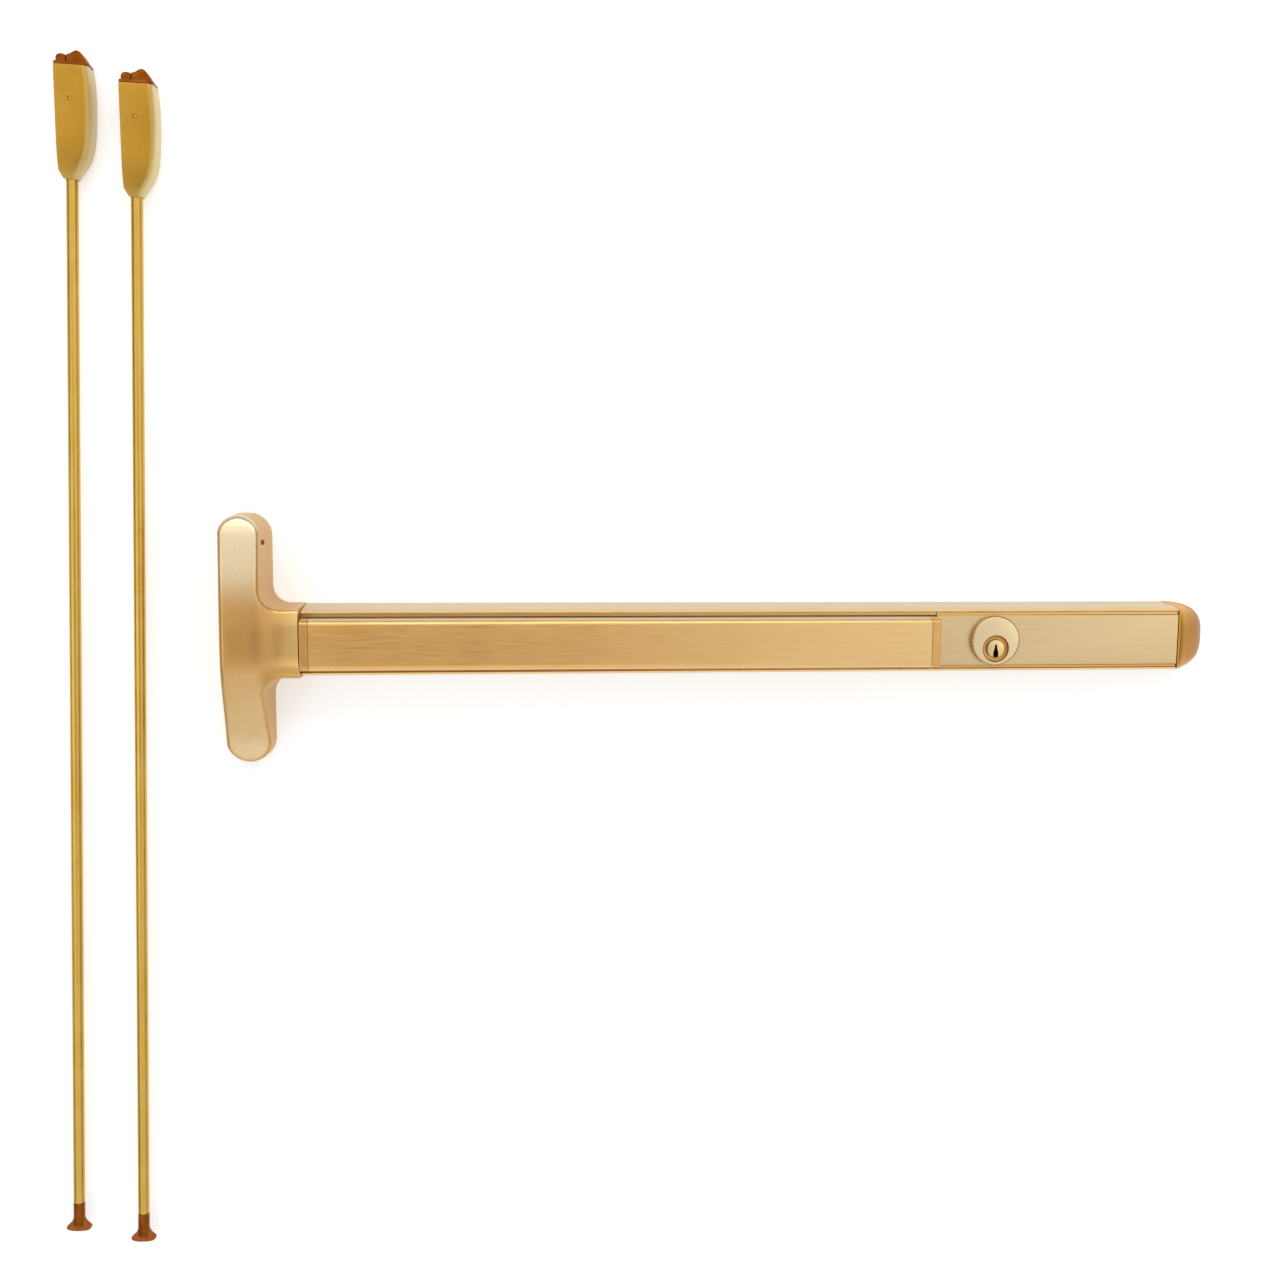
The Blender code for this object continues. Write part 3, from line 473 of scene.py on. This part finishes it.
# place along the head, depth above the door
ARM_DEPTH = ((HEAD_BOTTOM, 17.0), (-98, 18.2), (-84, 23.5), (-68, 32.5), (-52, 42.5), (-36, 53.0),
             (-24, 59.0), (-10, 61.5), (10, 62.0), (35, 60.0), (60, 57.5), (86, 54.5), (98, 52.0),
             (HEAD_TOP, 48.0))
NECK_DEPTH = ((-31, 45.0), (-24, 49.0), (-18, 55.0), (-12, 57.0), (0, 57.5), (16, 57.2), (24, 56.0),
              (31, 54.5))
HIGHEST = 61.9      # the head's highest point
BLEND = 3.0         # height over which the arm's depth and the neck's flow into each other
NECK_FROM = 12.0    # where the neck's own depth begins to count
NECK_REACH = 22.0   # and the distance over which it takes over


def head_depth(x, y, inset=0.0):
    """Depth of the head above the door: a long slope below, and a lower neck."""
    arm, neck = min(smooth(ARM_DEPTH, y), HIGHEST), smooth(NECK_DEPTH, y)
    blend = max(BLEND - abs(arm - neck), 0.0) / BLEND
    lower = min(arm, neck) - blend * blend * BLEND / 4
    share = min(max((x - NECK_FROM) / NECK_REACH, 0.0), 1.0)
    share = share * share * (3 - 2 * share)
    depth = arm + (lower - arm) * share - inset
    return min(depth, HOLLOW_TOP) if inset else depth


def head_half(length, neck, neck_draft):
    """Right side of one arm, from its end to the neck, drawn as the lower arm: point, outward direction,
    draft, share of the edge rounding, draft of the point across from it, and that point's place on the
    straight left side."""
    rows = []
    end = length - HEAD_END_DEPTH
    steps = 28
    for i in range(steps + 1):
        a = radians(-90 + 90 * i / steps)
        normal = Vector((cos(a) * HEAD_END_DEPTH, sin(a) * HEAD_HALF_WIDTH)).normalized()
        rows.append((HEAD_HALF_WIDTH * cos(a), -end + HEAD_END_DEPTH * sin(a), normal,
                     END_DRAFT + (RIGHT_DRAFT - END_DRAFT) * i / steps, 1.0,
                     END_DRAFT + (LEFT_DRAFT - END_DRAFT) * i / steps, None))
    for i in range(12 if neck else 28):
        y = -83.0 + 2.9 * i
        rows.append((HEAD_HALF_WIDTH, y, Vector((1, 0)), RIGHT_DRAFT, 1.0, LEFT_DRAFT, y))
    if not neck:
        return rows
    cx, cy = HEAD_HALF_WIDTH + NECK_FILLET, -NECK_HALF_HEIGHT - NECK_FILLET
    steps = 20
    for i in range(steps + 1):
        a = radians(180 - 90 * i / steps)
        rows.append((cx + NECK_FILLET * cos(a), cy + NECK_FILLET * sin(a), Vector((-cos(a), -sin(a))),
                     RIGHT_DRAFT + (neck_draft - RIGHT_DRAFT) * i / steps, 1 + (NECK_ROUND - 1) * i / steps,
                     LEFT_DRAFT, cy - 1.0 + 22.0 * i / steps))
    for i in range(1, 4):
        x = cx + (NECK_END - cx) * i / 3
        rows.append((x, -NECK_HALF_HEIGHT, Vector((0, -1)), neck_draft, NECK_ROUND, LEFT_DRAFT,
                     cy + 21.0 + 2.0 * i))
    for i in range(12):
        share = 1 - i / 12
        rows.append((NECK_END, -24.0 * share, Vector((0, 0)), neck_draft, NECK_ROUND, LEFT_DRAFT,
                     -18.0 * share))
    return rows


def head_side(neck):
    """Rows of both arms, from the bottom of the head to its top."""
    upper = [(x, -y, Vector((n.x, -n.y)), draft, rounding, other, None if left is None else -left)
             for x, y, n, draft, rounding, other, left in reversed(head_half(HEAD_TOP, neck, NECK_DRAFT))]
    middle = [(NECK_END, 0.0, Vector((0, 0)), NECK_DRAFT, NECK_ROUND, LEFT_DRAFT, 0.0)] if neck else []
    return head_half(-HEAD_BOTTOM, neck, RIGHT_DRAFT) + middle + upper


def head_levels():
    """Share of depth, of draft and of the edge rounding inward and down, from the door to the front."""
    rows = [(0.0, 0.0, 0.0, 0.0), (0.12, 0.16, 0.0, 0.0), (0.3, 0.4, 0.0, 0.0), (0.5, 0.65, 0.0, 0.0),
            (0.7, 0.9, 0.0, 0.0)]
    steps = 10
    for i in range(steps + 1):
        a = radians(90 * i / steps)
        rows.append((1.0, 1.0, 1.0 - cos(a), sin(a) - 1.0))
    return rows


def head_mesh(inset=0.0, base=0.0, across=14):
    """Head form: drafted and rounded levels, each a closed loop, with a front face that follows the depth.
    With an inset it is the hollow of the two arms, without a neck."""
    right, left = [], []
    for x, y, normal, draft, rounding, other_draft, across_at in head_side(neck=not inset):
        right.append((x, y, normal, draft, rounding))
        if across_at is None:
            left.append((-x, y, Vector((-normal.x, normal.y)), other_draft, 1.0))
        else:
            left.append((-HEAD_HALF_WIDTH, across_at, Vector((-1, 0)), other_draft, 1.0))
    loop = right + left[-2:0:-1]
    count = len(right)
    bm = bmesh.new()
    rings = []
    for share, draft_share, round_in, round_down in head_levels():
        ring = []
        for x, y, normal, draft, rounding in loop:
            radius = (EDGE_ROUND - inset * 0.5) * rounding
            inward = inset + draft * head_depth(x, y) * draft_share + radius * round_in
            px, py = x - normal.x * inward, y - normal.y * inward
            depth = head_depth(px, py, inset)
            if share < 1.0:
                z = (depth - radius) * share if share else base
            else:
                z = depth + radius * round_down
            ring.append(bm.verts.new((px, py, z)))
        rings.append(ring)
    join_rings(bm, rings)
    for ring, parts in ((rings[0], 1), (rings[-1], across)):
        other = [ring[0]] + ring[:count - 1:-1] + [ring[count - 1]]
        lines = []
        for a, b in zip(ring[:count], other):
            line = [a]
            for k in range(1, parts):
                if a is b:
                    line.append(a)
                    continue
                point = a.co.lerp(b.co, k / parts)
                point.z = head_depth(point.x, point.y, inset)
                line.append(bm.verts.new(point))
            line.append(b)
            lines.append(line)
        for low, high in zip(lines, lines[1:]):
            for k in range(parts):
                corners = []
                for vert in (low[k], high[k], high[k + 1], low[k + 1]):
                    if vert not in corners:
                        corners.append(vert)
                if len(corners) > 2:
                    bm.faces.new(corners)
    return bm


# hollow of the neck: place across the bar, height
NECK_CHANNEL = ((28.3, -5.0), (27.6, 20.0), (27.0, 40.0), (26.0, 47.0), (23.4, 51.5), (19.0, 53.8),
                (-11.4, 54.0), (-16.4, 51.0), (-21.4, 44.5), (-24.2, 39.5), (-25.9, 33.0), (-27.2, 15.0),
                (-28.3, -5.0))
# radius and place across the head
SCREW_PROFILE = ((0, 19.4), (1.3, 19.35), (1.9, 19.1), (2.2, 18.6), (2.2, 16.7), (1.4, 16.5), (1.4, 10.0),
                 (0, 10.0))


def make_head():
    cover = piece("head_shell", head_mesh(), HEAD_METAL, "device", "head_cover")
    hollow = cutter("head_hollow", head_mesh(HEAD_WALL, -5.0, 1))
    port = arc(0, PORT_Z, PORT_RADIUS, 0, 180, 32) + [(-PORT_RADIUS, -5), (PORT_RADIUS, -5)]
    cut(cover, hollow, cutter("neck_hollow", outline_mesh("yz", NECK_CHANNEL, 4, NECK_END - HEAD_WALL)),
        cutter("neck_mouth", block((30, 60), (-24, 24), (-5, 34))),
        cutter("port_top", outline_mesh("xz", port, 90, 115)),
        cutter("port_bottom", outline_mesh("xz", port, -115, -90)),
        cutter("head_screw_hole", rod_mesh("x", 2.5, 10, 30, HEAD_SCREW, 40)))
    settle(cover)

    y, z = HEAD_SCREW
    screw = piece("head_side_screw", turned_mesh(SCREW_PROFILE, "x", HEAD_SCREW, 40), CROWN_METAL,
                  "device", "head_screw")
    socket = cutter("screw_socket", outline_mesh("yz", arc(y, z, 1.05, 0, 300, 5), 18.4, 22))
    settle(cut(screw, socket))


# rail, cover and end cap
# outer half of the rail's section from the door to the front lip: half width, height
RAIL_HALF = [(30.2, 0.0), (30.4, 0.3), (30.4, 5.0), (28.5, 24.0), (28.3, 28.0), (27.9, 31.5), (27.4, 34.5),
             (26.8, 37.0), (26.1, 38.8), (25.5, 39.7), (25.1, 40.0)]


def make_rail():
    """The rail's section: its outer side, and inside it the lip's mouth, the ledge and the wall."""
    inner = [(24.9, 39.95), (LIP_MOUTH, 39.7), (LIP_MOUTH, GUIDE_TOP + 0.3), (24.6, GUIDE_TOP),
             (GUIDE_HALF + 0.3, GUIDE_TOP), (GUIDE_HALF, GUIDE_TOP - 0.3), (GUIDE_HALF, 35.4), (25.2, 35.2),
             (25.7, 30.0), (26.6, 24.0), (28.2, 5.0), (28.2, 2.5)]
    section = mirrored(RAIL_HALF + inner)
    piece("rail", outline_mesh("yz", section, RAIL_START, RAIL_END), RAIL_METAL, "device", "rail_channel", 24)


def make_cover():
    half = [(24.4, GUIDE_TOP + 0.3), (24.4, 37.8), (24.2, 38.0), (COVER_HALF, 38.1)]
    half += arc(COVER_HALF - COVER_EDGE, COVER_FRONT - COVER_EDGE, COVER_EDGE, 0, 90, 5)
    cover = piece("fixed_cover", outline_mesh("yz", mirrored(half), COVER_START, RAIL_END - 0.2),
                  COVER_METAL, "device", "mechanism_cover")
    fold = (COVER_START, COVER_START + COVER_SHEET)
    cut(cover, cutter("cover_fold", block(fold, (-21.0, 21.0), (28.0, 38.5))),
        operation='UNION')
    cut(cover, cutter("lock_hole", rod_mesh("z", 18.2, 30, 50, (LOCK_X, 0), 96)))
    settle(cover)
    soften(cover, 0.35, 2, 60)


CAP_FORM = ((0.0, 0.985), (3.0, 0.965), (7.5, 0.93), (12.0, 0.86), (17.4, 0.75), (23.0, 0.61), (28.4, 0.45),
            (32.0, 0.33), (35.2, 0.22), (38.2, 0.11), (39.8, 0.03))   # height, share of the reach
CAP_HEIGHT = CAP_FORM[-1][0]
CAP_LEVELS = 44
CAP_SIDES = 72
CAP_CREST = (39.3, 39.6)   # further levels near the front


def make_end_cap():
    """A loft of levels: each has the rail's width and a blunt rounded end, and reaches less far the
    higher it is."""
    start = RAIL_END + 0.3
    widths = [(z, y + 0.1) for y, z in RAIL_HALF]
    bm = bmesh.new()
    rings = []
    heights = {round(CAP_HEIGHT * i / CAP_LEVELS, 3) for i in range(CAP_LEVELS + 1)}
    for z in sorted(heights.union(CAP_CREST)):
        half = smooth(widths[1:], z)
        reach = max((END_CAP_TIP - start) * smooth(CAP_FORM, z), 0.2)
        ring = [(start, -half)]
        for i in range(1, CAP_SIDES):
            a = radians(-90 + 180 * i / CAP_SIDES)
            wide = abs(sin(a)) ** 0.7 * (1 if a > 0 else -1)
            ring.append((start + reach * (1 - abs(wide) ** 3) ** 0.4, wide * half))
        ring.append((start, half))
        rings.append([bm.verts.new((x, y, z)) for x, y in ring])
    join_rings(bm, rings)
    bm.faces.new(rings[0])
    bm.faces.new(rings[-1])
    soften(piece("end_cap_shell", bm, CAP_METAL, "device", "end_cap"), EDGE)


# push pad
def pad_outline(inset=0.0):
    """The pad's section: two skirts and a front with rounded corners."""
    half, front, round_ = PAD_HALF - inset, PAD_FRONT - inset, max(PAD_ROUND - inset, 0.5)
    corner = arc(half - round_, front - round_, round_, 0, 90, 12)
    return mirrored([(half, PAD_SKIRT)] + corner)


def make_pad():
    section = pad_outline() + list(reversed(pad_outline(PAD_WALL)))
    start, end = PAD_START + PAD_CAP + PAD_JOINT, PAD_END - PAD_CAP - PAD_JOINT
    piece("pad_skin", outline_mesh("yz", section, start, end), PAD_METAL, "pad", "push_pad")
    for side, start in (("left", PAD_START), ("right", PAD_END - PAD_CAP)):
        trim = piece("pad_trim_" + side, outline_mesh("yz", pad_outline(), start, start + PAD_CAP),
                     TRIM_METAL, "pad", "pad_cap_" + side)
        soften(trim, EDGE, angle=60)


TURN_STEPS = 24
END_TURN = 0.55   # rise of a spring's end turn, as a share of its wire


def coil_mesh(axis, radius, wire, start, end, turns, at):
    """A helix of round wire with an almost flat turn at each end, along one axis."""
    low, rise = start + wire, end - start - 2 * wire
    points = []
    for i in range((turns + 2) * TURN_STEPS + 1):
        turn = i / TURN_STEPS
        share = min(max((turn - 1) / turns, 0.0), 1.0)
        points.append((radius * cos(2 * pi * turn), radius * sin(2 * pi * turn),
                       low + wire * END_TURN * (min(turn, 1) + max(turn - 1 - turns, 0))
                       + (rise - 2 * wire * END_TURN) * share))
    curve = bpy.data.curves.new("wire", 'CURVE')
    curve.dimensions = '3D'
    curve.bevel_depth = wire / 2
    curve.bevel_resolution = 3
    curve.use_fill_caps = True
    return along(curve_mesh(curve, points, closed=False), axis, at)


def make_pad_springs():
    """Return springs, at the length they have under the pressed pad, because nothing here changes length."""
    for side, place in (("left", (230, 11)), ("right", (400, -11))):
        piece("pad_coil_" + side, coil_mesh("z", 4.6, 1.2, 5.3, 40.4, 8, place), SPRING_METAL, "device",
              "pad_spring_" + side)


# key cylinder: radius and height of its turned forms, and the keyway's half width and place
LOCK_PROFILE = ((0, 44.4), (19.6, 44.4), (20.5, 44.25), (21.2, 43.8), (21.55, 43.2), (21.7, 42.6),
                (21.7, 39.6), (17.6, 39.6), (17.6, 15.0), (0, 15.0))
RING_PROFILE = ((0, 60), (12.4, 60), (11.8, 44.1), (11.4, 43.4), (11.0, 42.8), (10.6, 42.6), (0, 42.6))
PLUG_PROFILE = ((0, 44.6), (7.2, 44.6), (7.6, 44.4), (PLUG_RADIUS, 44.0), (PLUG_RADIUS, 15.0), (0, 15.0))
KEYWAY_HALF = [(2.2, -9.0), (2.4, -4.4), (2.2, -2.8), (1.9, -1.6), (1.4, -0.2), (1.2, 0.6), (1.0, 2.4),
               (0.8, 3.6), (0.4, 3.9)]


def make_lock():
    body = piece("lock_body", turned_mesh(LOCK_PROFILE, "z", (LOCK_X, 0), 128), LOCK_METAL, "device",
                 "cylinder_body")
    place = (LOCK_X, -PLUG_DROP)
    cut(body, cutter("plug_bore", rod_mesh("z", PLUG_RADIUS + 0.3, 5, 60, place, 72)),
        cutter("plug_ring", turned_mesh(RING_PROFILE, "z", place, 96)))
    settle(body)
    plug = piece("lock_plug", turned_mesh(PLUG_PROFILE, "z", place, 72), PLUG_METAL, "plug", "key_plug")
    slot = [(LOCK_X + u, v - PLUG_DROP) for u, v in mirrored(KEYWAY_HALF)]
    keyway = cutter("keyway", outline_mesh("xy", slot, 36, 50))
    settle(cut(plug, keyway))


# rod and latch sets
def case_back(s):
    """Place of the case's back at a height along the rod."""
    return CASE_BACK_TOP + (CASE_BACK_LOW - CASE_BACK_TOP) * (CASE_TOP - s) / CASE_STRAIGHT


def case_mesh(inset=0.0):
    """Latch case as a loft of levels: square at the back, rounded at the front, drawn down to the rod.
    With an inset it is the hollow, which runs out at the back and at the top."""
    middle = CASE_MIDDLE
    places = [0, 3, 6, 10, 15, 20, 25, 30, 35, 40, 45, 50, 55, 60, 65, 69, 73, 76, 79, CASE_STRAIGHT, 82.5,
              84, 85.5, CASE_LENGTH]
    bm = bmesh.new()
    rings = []
    for below in places:
        front = smooth([(b, f) for b, f, h in CASE_FORM], below)
        half = min(smooth([(b, h) for b, f, h in CASE_FORM], below), CASE_MIDDLE)
        s = CASE_TOP - below
        tail = (below - CASE_STRAIGHT) / (CASE_LENGTH - CASE_STRAIGHT)
        back = case_back(s) if below <= CASE_STRAIGHT else (
            CASE_BACK_LOW + (CASE_BACK_TAIL - CASE_BACK_LOW) * tail)
        if inset:
            back = case_back(s) - RUN_OUT if below <= CASE_STRAIGHT else CASE_BACK_TAIL + inset
            s += RUN_OUT if below == 0 else (inset * 1.2 if below > CASE_STRAIGHT else inset * 0.5)
        radius = min(CASE_ROUND, half - 0.4) - inset
        x, low, high = front - inset - radius, middle - half + inset + radius, middle + half - inset - radius
        ring = [(back, low - radius)] + arc(x, low, radius, -90, 0, 12) + arc(x, high, radius, 0, 90, 12)
        ring.append((back, high + radius))
        rings.append([bm.verts.new((u, s, v)) for u, v in ring])
    join_rings(bm, rings)
    bm.faces.new(rings[0])
    bm.faces.new(rings[-1])
    return bm


def above_case(points):
    """Points given as a place across the set and a height above the top of its case."""
    return [(x, CASE_TOP + height) for x, height in points]


def placed(bm, place, lean):
    """Move a mesh from the set's own frame to its place beside the bar."""
    matrix = Matrix.Translation((*place, 0)) @ Matrix.Rotation(-radians(lean), 4, 'Z')
    bmesh.ops.transform(bm, matrix=matrix, verts=bm.verts)
    return bm


# rivet in the case's front: its place, and radius and height
RIVET_PLACE = (1.4, CASE_TOP - 26)
RIVET_PROFILE = ((0, 24.1), (0.7, 24.05), (1.2, 23.9), (1.6, 23.5), (1.6, 21.0), (0, 21.0))
# bolt and trigger: place across the set, height above the top of the case
NOSE = ((-2.4, -22), (13.0, -22), (13.0, 4.6), (12.3, 5.9), (11.6, 7.0), (10.9, 8.2), (10.2, 9.2),
        (9.4, 10.3), (8.6, 11.15), (7.8, 11.85), (7.0, 12.25), (6.1, 12.4), (5.2, 12.35), (4.4, 12.15),
        (3.6, 11.8), (2.8, 11.3), (2.0, 10.8), (1.2, 10.3), (0.4, 9.85), (-1.0, 9.3), (-2.4, 9.0))
TRIP = ((-9.6, -22), (-4.6, -22), (-4.6, -14), (-2.9, -12), (-2.9, 8.6), (-3.4, 8.95), (-4.2, 9.2),
        (-5.3, 9.35), (-6.4, 9.4), (-7.4, 9.3), (-8.4, 9.0), (-9.2, 8.5), (-9.8, 7.85), (-10.25, 7.0),
        (-10.5, 6.0))
BOLT_SIDES = (5, 19)
# rod, flared foot and its stem: radius and height
ROD_PROFILE = ((0, ROD_END), (ROD_RADIUS - 0.6, ROD_END), (ROD_RADIUS, ROD_END - 0.6),
               (ROD_RADIUS, ROD_START + 0.5), (ROD_RADIUS - 0.5, ROD_START), (0, ROD_START))
FLARE = ((0, 25.6), (4.4, 25.6), (4.75, 25.2), (4.8, 24.6), (4.8, 13.4), (4.95, 12.0), (5.25, 10.6),
         (5.65, 9.5), (6.2, 8.4), (6.95, 7.4), (7.8, 6.4), (8.65, 5.55), (9.4, 4.8), (10.1, 4.15),
         (FLANGE_RADIUS, 3.5), (10.55, 2.9), (10.2, 2.3), (9.6, 1.7), (8.8, 1.2), (7.4, 0.7), (5.4, 0.3),
         (2.8, 0.1), (0, 0))
STEM = ((0, 25.6), (4.4, 25.6), (4.75, 25.2), (4.8, 24.6), (4.8, 6.0), (4.5, 5.0), (3.8, 4.0), (2.2, 3.3),
        (0, 3.0))
# frame at the top of the case: lower and upper limit, front and corner radius, then its slot's limits
CROWN = (0.5, CASE_WIDTH - 0.5, 15.2, 5.6)
CROWN_SLOT = (4.6, 19.4, 13.8)


def crown_outline():
    """Outline of the frame around the bolt and the trigger, open at the back."""
    low, high, side, corner = CROWN
    slot_low, slot_high, slot_side = CROWN_SLOT
    rim = [(CASE_BACK_TOP, low)] + arc(side - corner, low + corner, corner, -90, 0, 14)
    rim += arc(side - corner, high - corner, corner, 0, 90, 14) + [(CASE_BACK_TOP, high)]
    return rim + [(CASE_BACK_TOP, slot_high), (slot_side, slot_high), (slot_side, slot_low),
                  (CASE_BACK_TOP, slot_low)]


def make_set(tag, place, lean):
    """One rod and latch set: case, crown, rivet, bolt, trigger, spring, rod and foot."""
    axis = (0, CASE_MIDDLE)

    def make(name, bm, material, body, node, angle=SHARP_ANGLE):
        return piece(name + "_" + tag, placed(bm, place, lean), material, body, node + "_" + tag, angle)

    def tool(name, bm):
        return cutter(name + "_" + tag, placed(bm, place, lean))

    cover = make("case_shell", case_mesh(), CASE_METAL, "device", "latch_cover")
    cut(cover, tool("case_hollow", case_mesh(CASE_WALL)),
        tool("case_bore", rod_mesh("y", ROD_RADIUS + 0.4, 875, ROD_END, axis, 56)),
        tool("rivet_hole", rod_mesh("z", 1.9, 20, 30, RIVET_PLACE, 40)))
    settle(cover)
    crown = make("case_crown", outline_mesh("xz", crown_outline(), CASE_TOP + 0.3, CASE_TOP + 2.7),
                 CROWN_METAL, "device", "latch_cap")
    soften(crown, EDGE)
    make("case_rivet", turned_mesh(RIVET_PROFILE, "z", RIVET_PLACE, 40), CASE_METAL, "device",
         "cover_rivet")

    bolt = make("bolt", outline_mesh("xy", above_case(NOSE), *BOLT_SIDES), CROWN_METAL, f"rod_set_{tag}",
                "latch_bolt", 40)
    cut(bolt, tool("bolt_tail", rod_mesh("y", 2.3, ROD_END + 0.3, CASE_TOP - 18, axis, 40)),
        operation='UNION')
    settle(bolt)
    soften(bolt, EDGE)
    trip = make("trip", outline_mesh("xy", above_case(TRIP), *BOLT_SIDES), CROWN_METAL, f"trip_{tag}",
                "trigger", 40)
    soften(trip, 0.4)
    make("bolt_coil", coil_mesh("y", 3.4, 0.9, CASE_TOP - 44.7, CASE_TOP - 34.8, 5, axis), SPRING_METAL,
         "device", "bolt_spring")

    make("round_rod", turned_mesh(ROD_PROFILE, "y", axis, 64), ROD_METAL, f"rod_set_{tag}", "rod")
    foot = make("flared_foot", turned_mesh(FLARE, "y", axis, 72), CROWN_METAL, f"rod_set_{tag}", "rod_foot")
    flats = block((-14, 14), (-5, 30), (CASE_MIDDLE - FLARE_HALF, CASE_MIDDLE + FLARE_HALF))
    cut(foot, tool("foot_flats", flats), operation='INTERSECT')
    cut(foot, tool("foot_stem", turned_mesh(STEM, "y", axis, 72)), operation='UNION')
    settle(foot)
    soften(foot, 0.4)


# setting
FLOOR_SIZE = 6000
FLOOR_DROP = 0.2      # gap that keeps the floor clear of the pieces' backs
FLOOR_GLOW = 0.4      # added where the floor is the background, so that it shows as white
WORLD_LIGHT = 0.7
CARD_BROWN = (0.10, 0.055, 0.02)
CAMERA_CARD_BROWN = (0.26, 0.17, 0.09)


def make_floor():
    """A pale floor that shows as white, and still takes the object's soft shadow."""
    mat, nodes, links = new_material("pale_floor")
    shader = nodes["Principled BSDF"]
    shader.inputs["Base Color"].default_value = (0.86, 0.86, 0.86, 1)
    shader.inputs["Roughness"].default_value = 0.9
    shader.inputs["Specular IOR Level"].default_value = 0.1
    shader.inputs["Emission Color"].default_value = (1, 1, 1, 1)
    glow = combined(nodes, links, 'MULTIPLY', shows_background(nodes, links), FLOOR_GLOW)
    links.new(glow, shader.inputs["Emission Strength"])
    bm = bmesh.new()
    bmesh.ops.create_grid(bm, x_segments=1, y_segments=1, size=FLOOR_SIZE)
    floor = piece("floor", bm, mat)
    floor.location = (0, 0, -FLOOR_DROP * MM)


def make_world():
    """A white surround, dimmer as a light than as a background."""
    world = bpy.data.worlds.new("studio")
    world.use_nodes = True
    nodes, links = world.node_tree.nodes, world.node_tree.links
    back = nodes["Background"]
    level = ranged(nodes, links, shows_background(nodes, links), 0.0, 1.0, WORLD_LIGHT, 1.0)
    links.new(level, back.inputs["Strength"])
    back.inputs["Color"].default_value = (1, 1, 1, 1)
    bpy.context.scene.world = world


def aim(obj, place, target):
    """Put an object at a place, looking at a target."""
    obj.location = Vector(place) * MM
    obj.rotation_mode = 'QUATERNION'
    obj.rotation_quaternion = (Vector(target) - Vector(place)).normalized().to_track_quat('-Z', 'Y')


def lamp(name, place, target, size, power):
    data = bpy.data.lights.new(name, 'AREA')
    data.shape = 'RECTANGLE'
    data.size, data.size_y = size[0] * MM, size[1] * MM
    data.energy = power
    obj = bpy.data.objects.new(name, data)
    aim(obj, place, target)
    bpy.context.scene.collection.objects.link(obj)


def dark_card(name, place, target, size, colour):
    """A dark flag of the studio, seen only as a reflection: it gives the metal its darker tones."""
    mat, nodes, _ = new_material(name)
    nodes["Principled BSDF"].inputs["Base Color"].default_value = (*colour, 1)
    nodes["Principled BSDF"].inputs["Roughness"].default_value = 0.9
    bm = bmesh.new()
    bmesh.ops.create_grid(bm, x_segments=1, y_segments=1, size=0.5)
    bmesh.ops.scale(bm, vec=(*size, 1), verts=bm.verts)
    card = piece(name, bm, mat)
    aim(card, place, target)
    card.visible_camera = False
    card.visible_shadow = False
    card.visible_diffuse = False


def make_lights():
    lamp("key_top", (250, 1700, 1500), (300, 100, 0), (2200, 900), 15)
    lamp("fill_right", (1900, 200, 1100), (500, 0, 0), (900, 1600), 2.5)
    lamp("fill_left", (-1500, -300, 1300), (0, 0, 0), (900, 1600), 3)
    dark_card("camera_card", (60, -170, 1600), (60, -170, 0), (900, 600), CAMERA_CARD_BROWN)
    for side, x, y in (("north", 300, 2600), ("east", 3000, 0), ("west", -2400, 0)):
        dark_card(side + "_card", (x, y, 700), (300, 0, 700), (5400, 1400), CARD_BROWN)


def make_camera():
    data = bpy.data.cameras.new("camera")
    data.lens = CAMERA_LENS
    data.sensor_width = 36.0
    data.clip_start, data.clip_end = 0.05, 50.0
    cam = bpy.data.objects.new("camera", data)
    turn = (Matrix.Rotation(radians(CAMERA_ROLL), 4, 'Z') @ Matrix.Rotation(radians(CAMERA_PITCH), 4, 'X')
            @ Matrix.Rotation(radians(CAMERA_YAW), 4, 'Y'))
    cam.matrix_world = Matrix.Translation(Vector(CAMERA_PLACE) * MM) @ turn.inverted()
    bpy.context.scene.collection.objects.link(cam)
    bpy.context.scene.camera = cam


def finish_inner_pieces():
    """Plain steel for the pieces inside that keep their CAD shape."""
    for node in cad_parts.values():
        if node.hide_render:
            continue
        node.data.materials.clear()
        node.data.materials.append(STEEL_METAL)


make_camera()
make_head()
make_rail()
make_cover()
make_end_cap()
make_pad()
make_pad_springs()
make_lock()
for tag, place, lean in SETS:
    make_set(tag, place, lean)
finish_inner_pieces()
make_floor()
make_world()
make_lights()
bpy.context.scene.view_settings.view_transform = 'Standard'
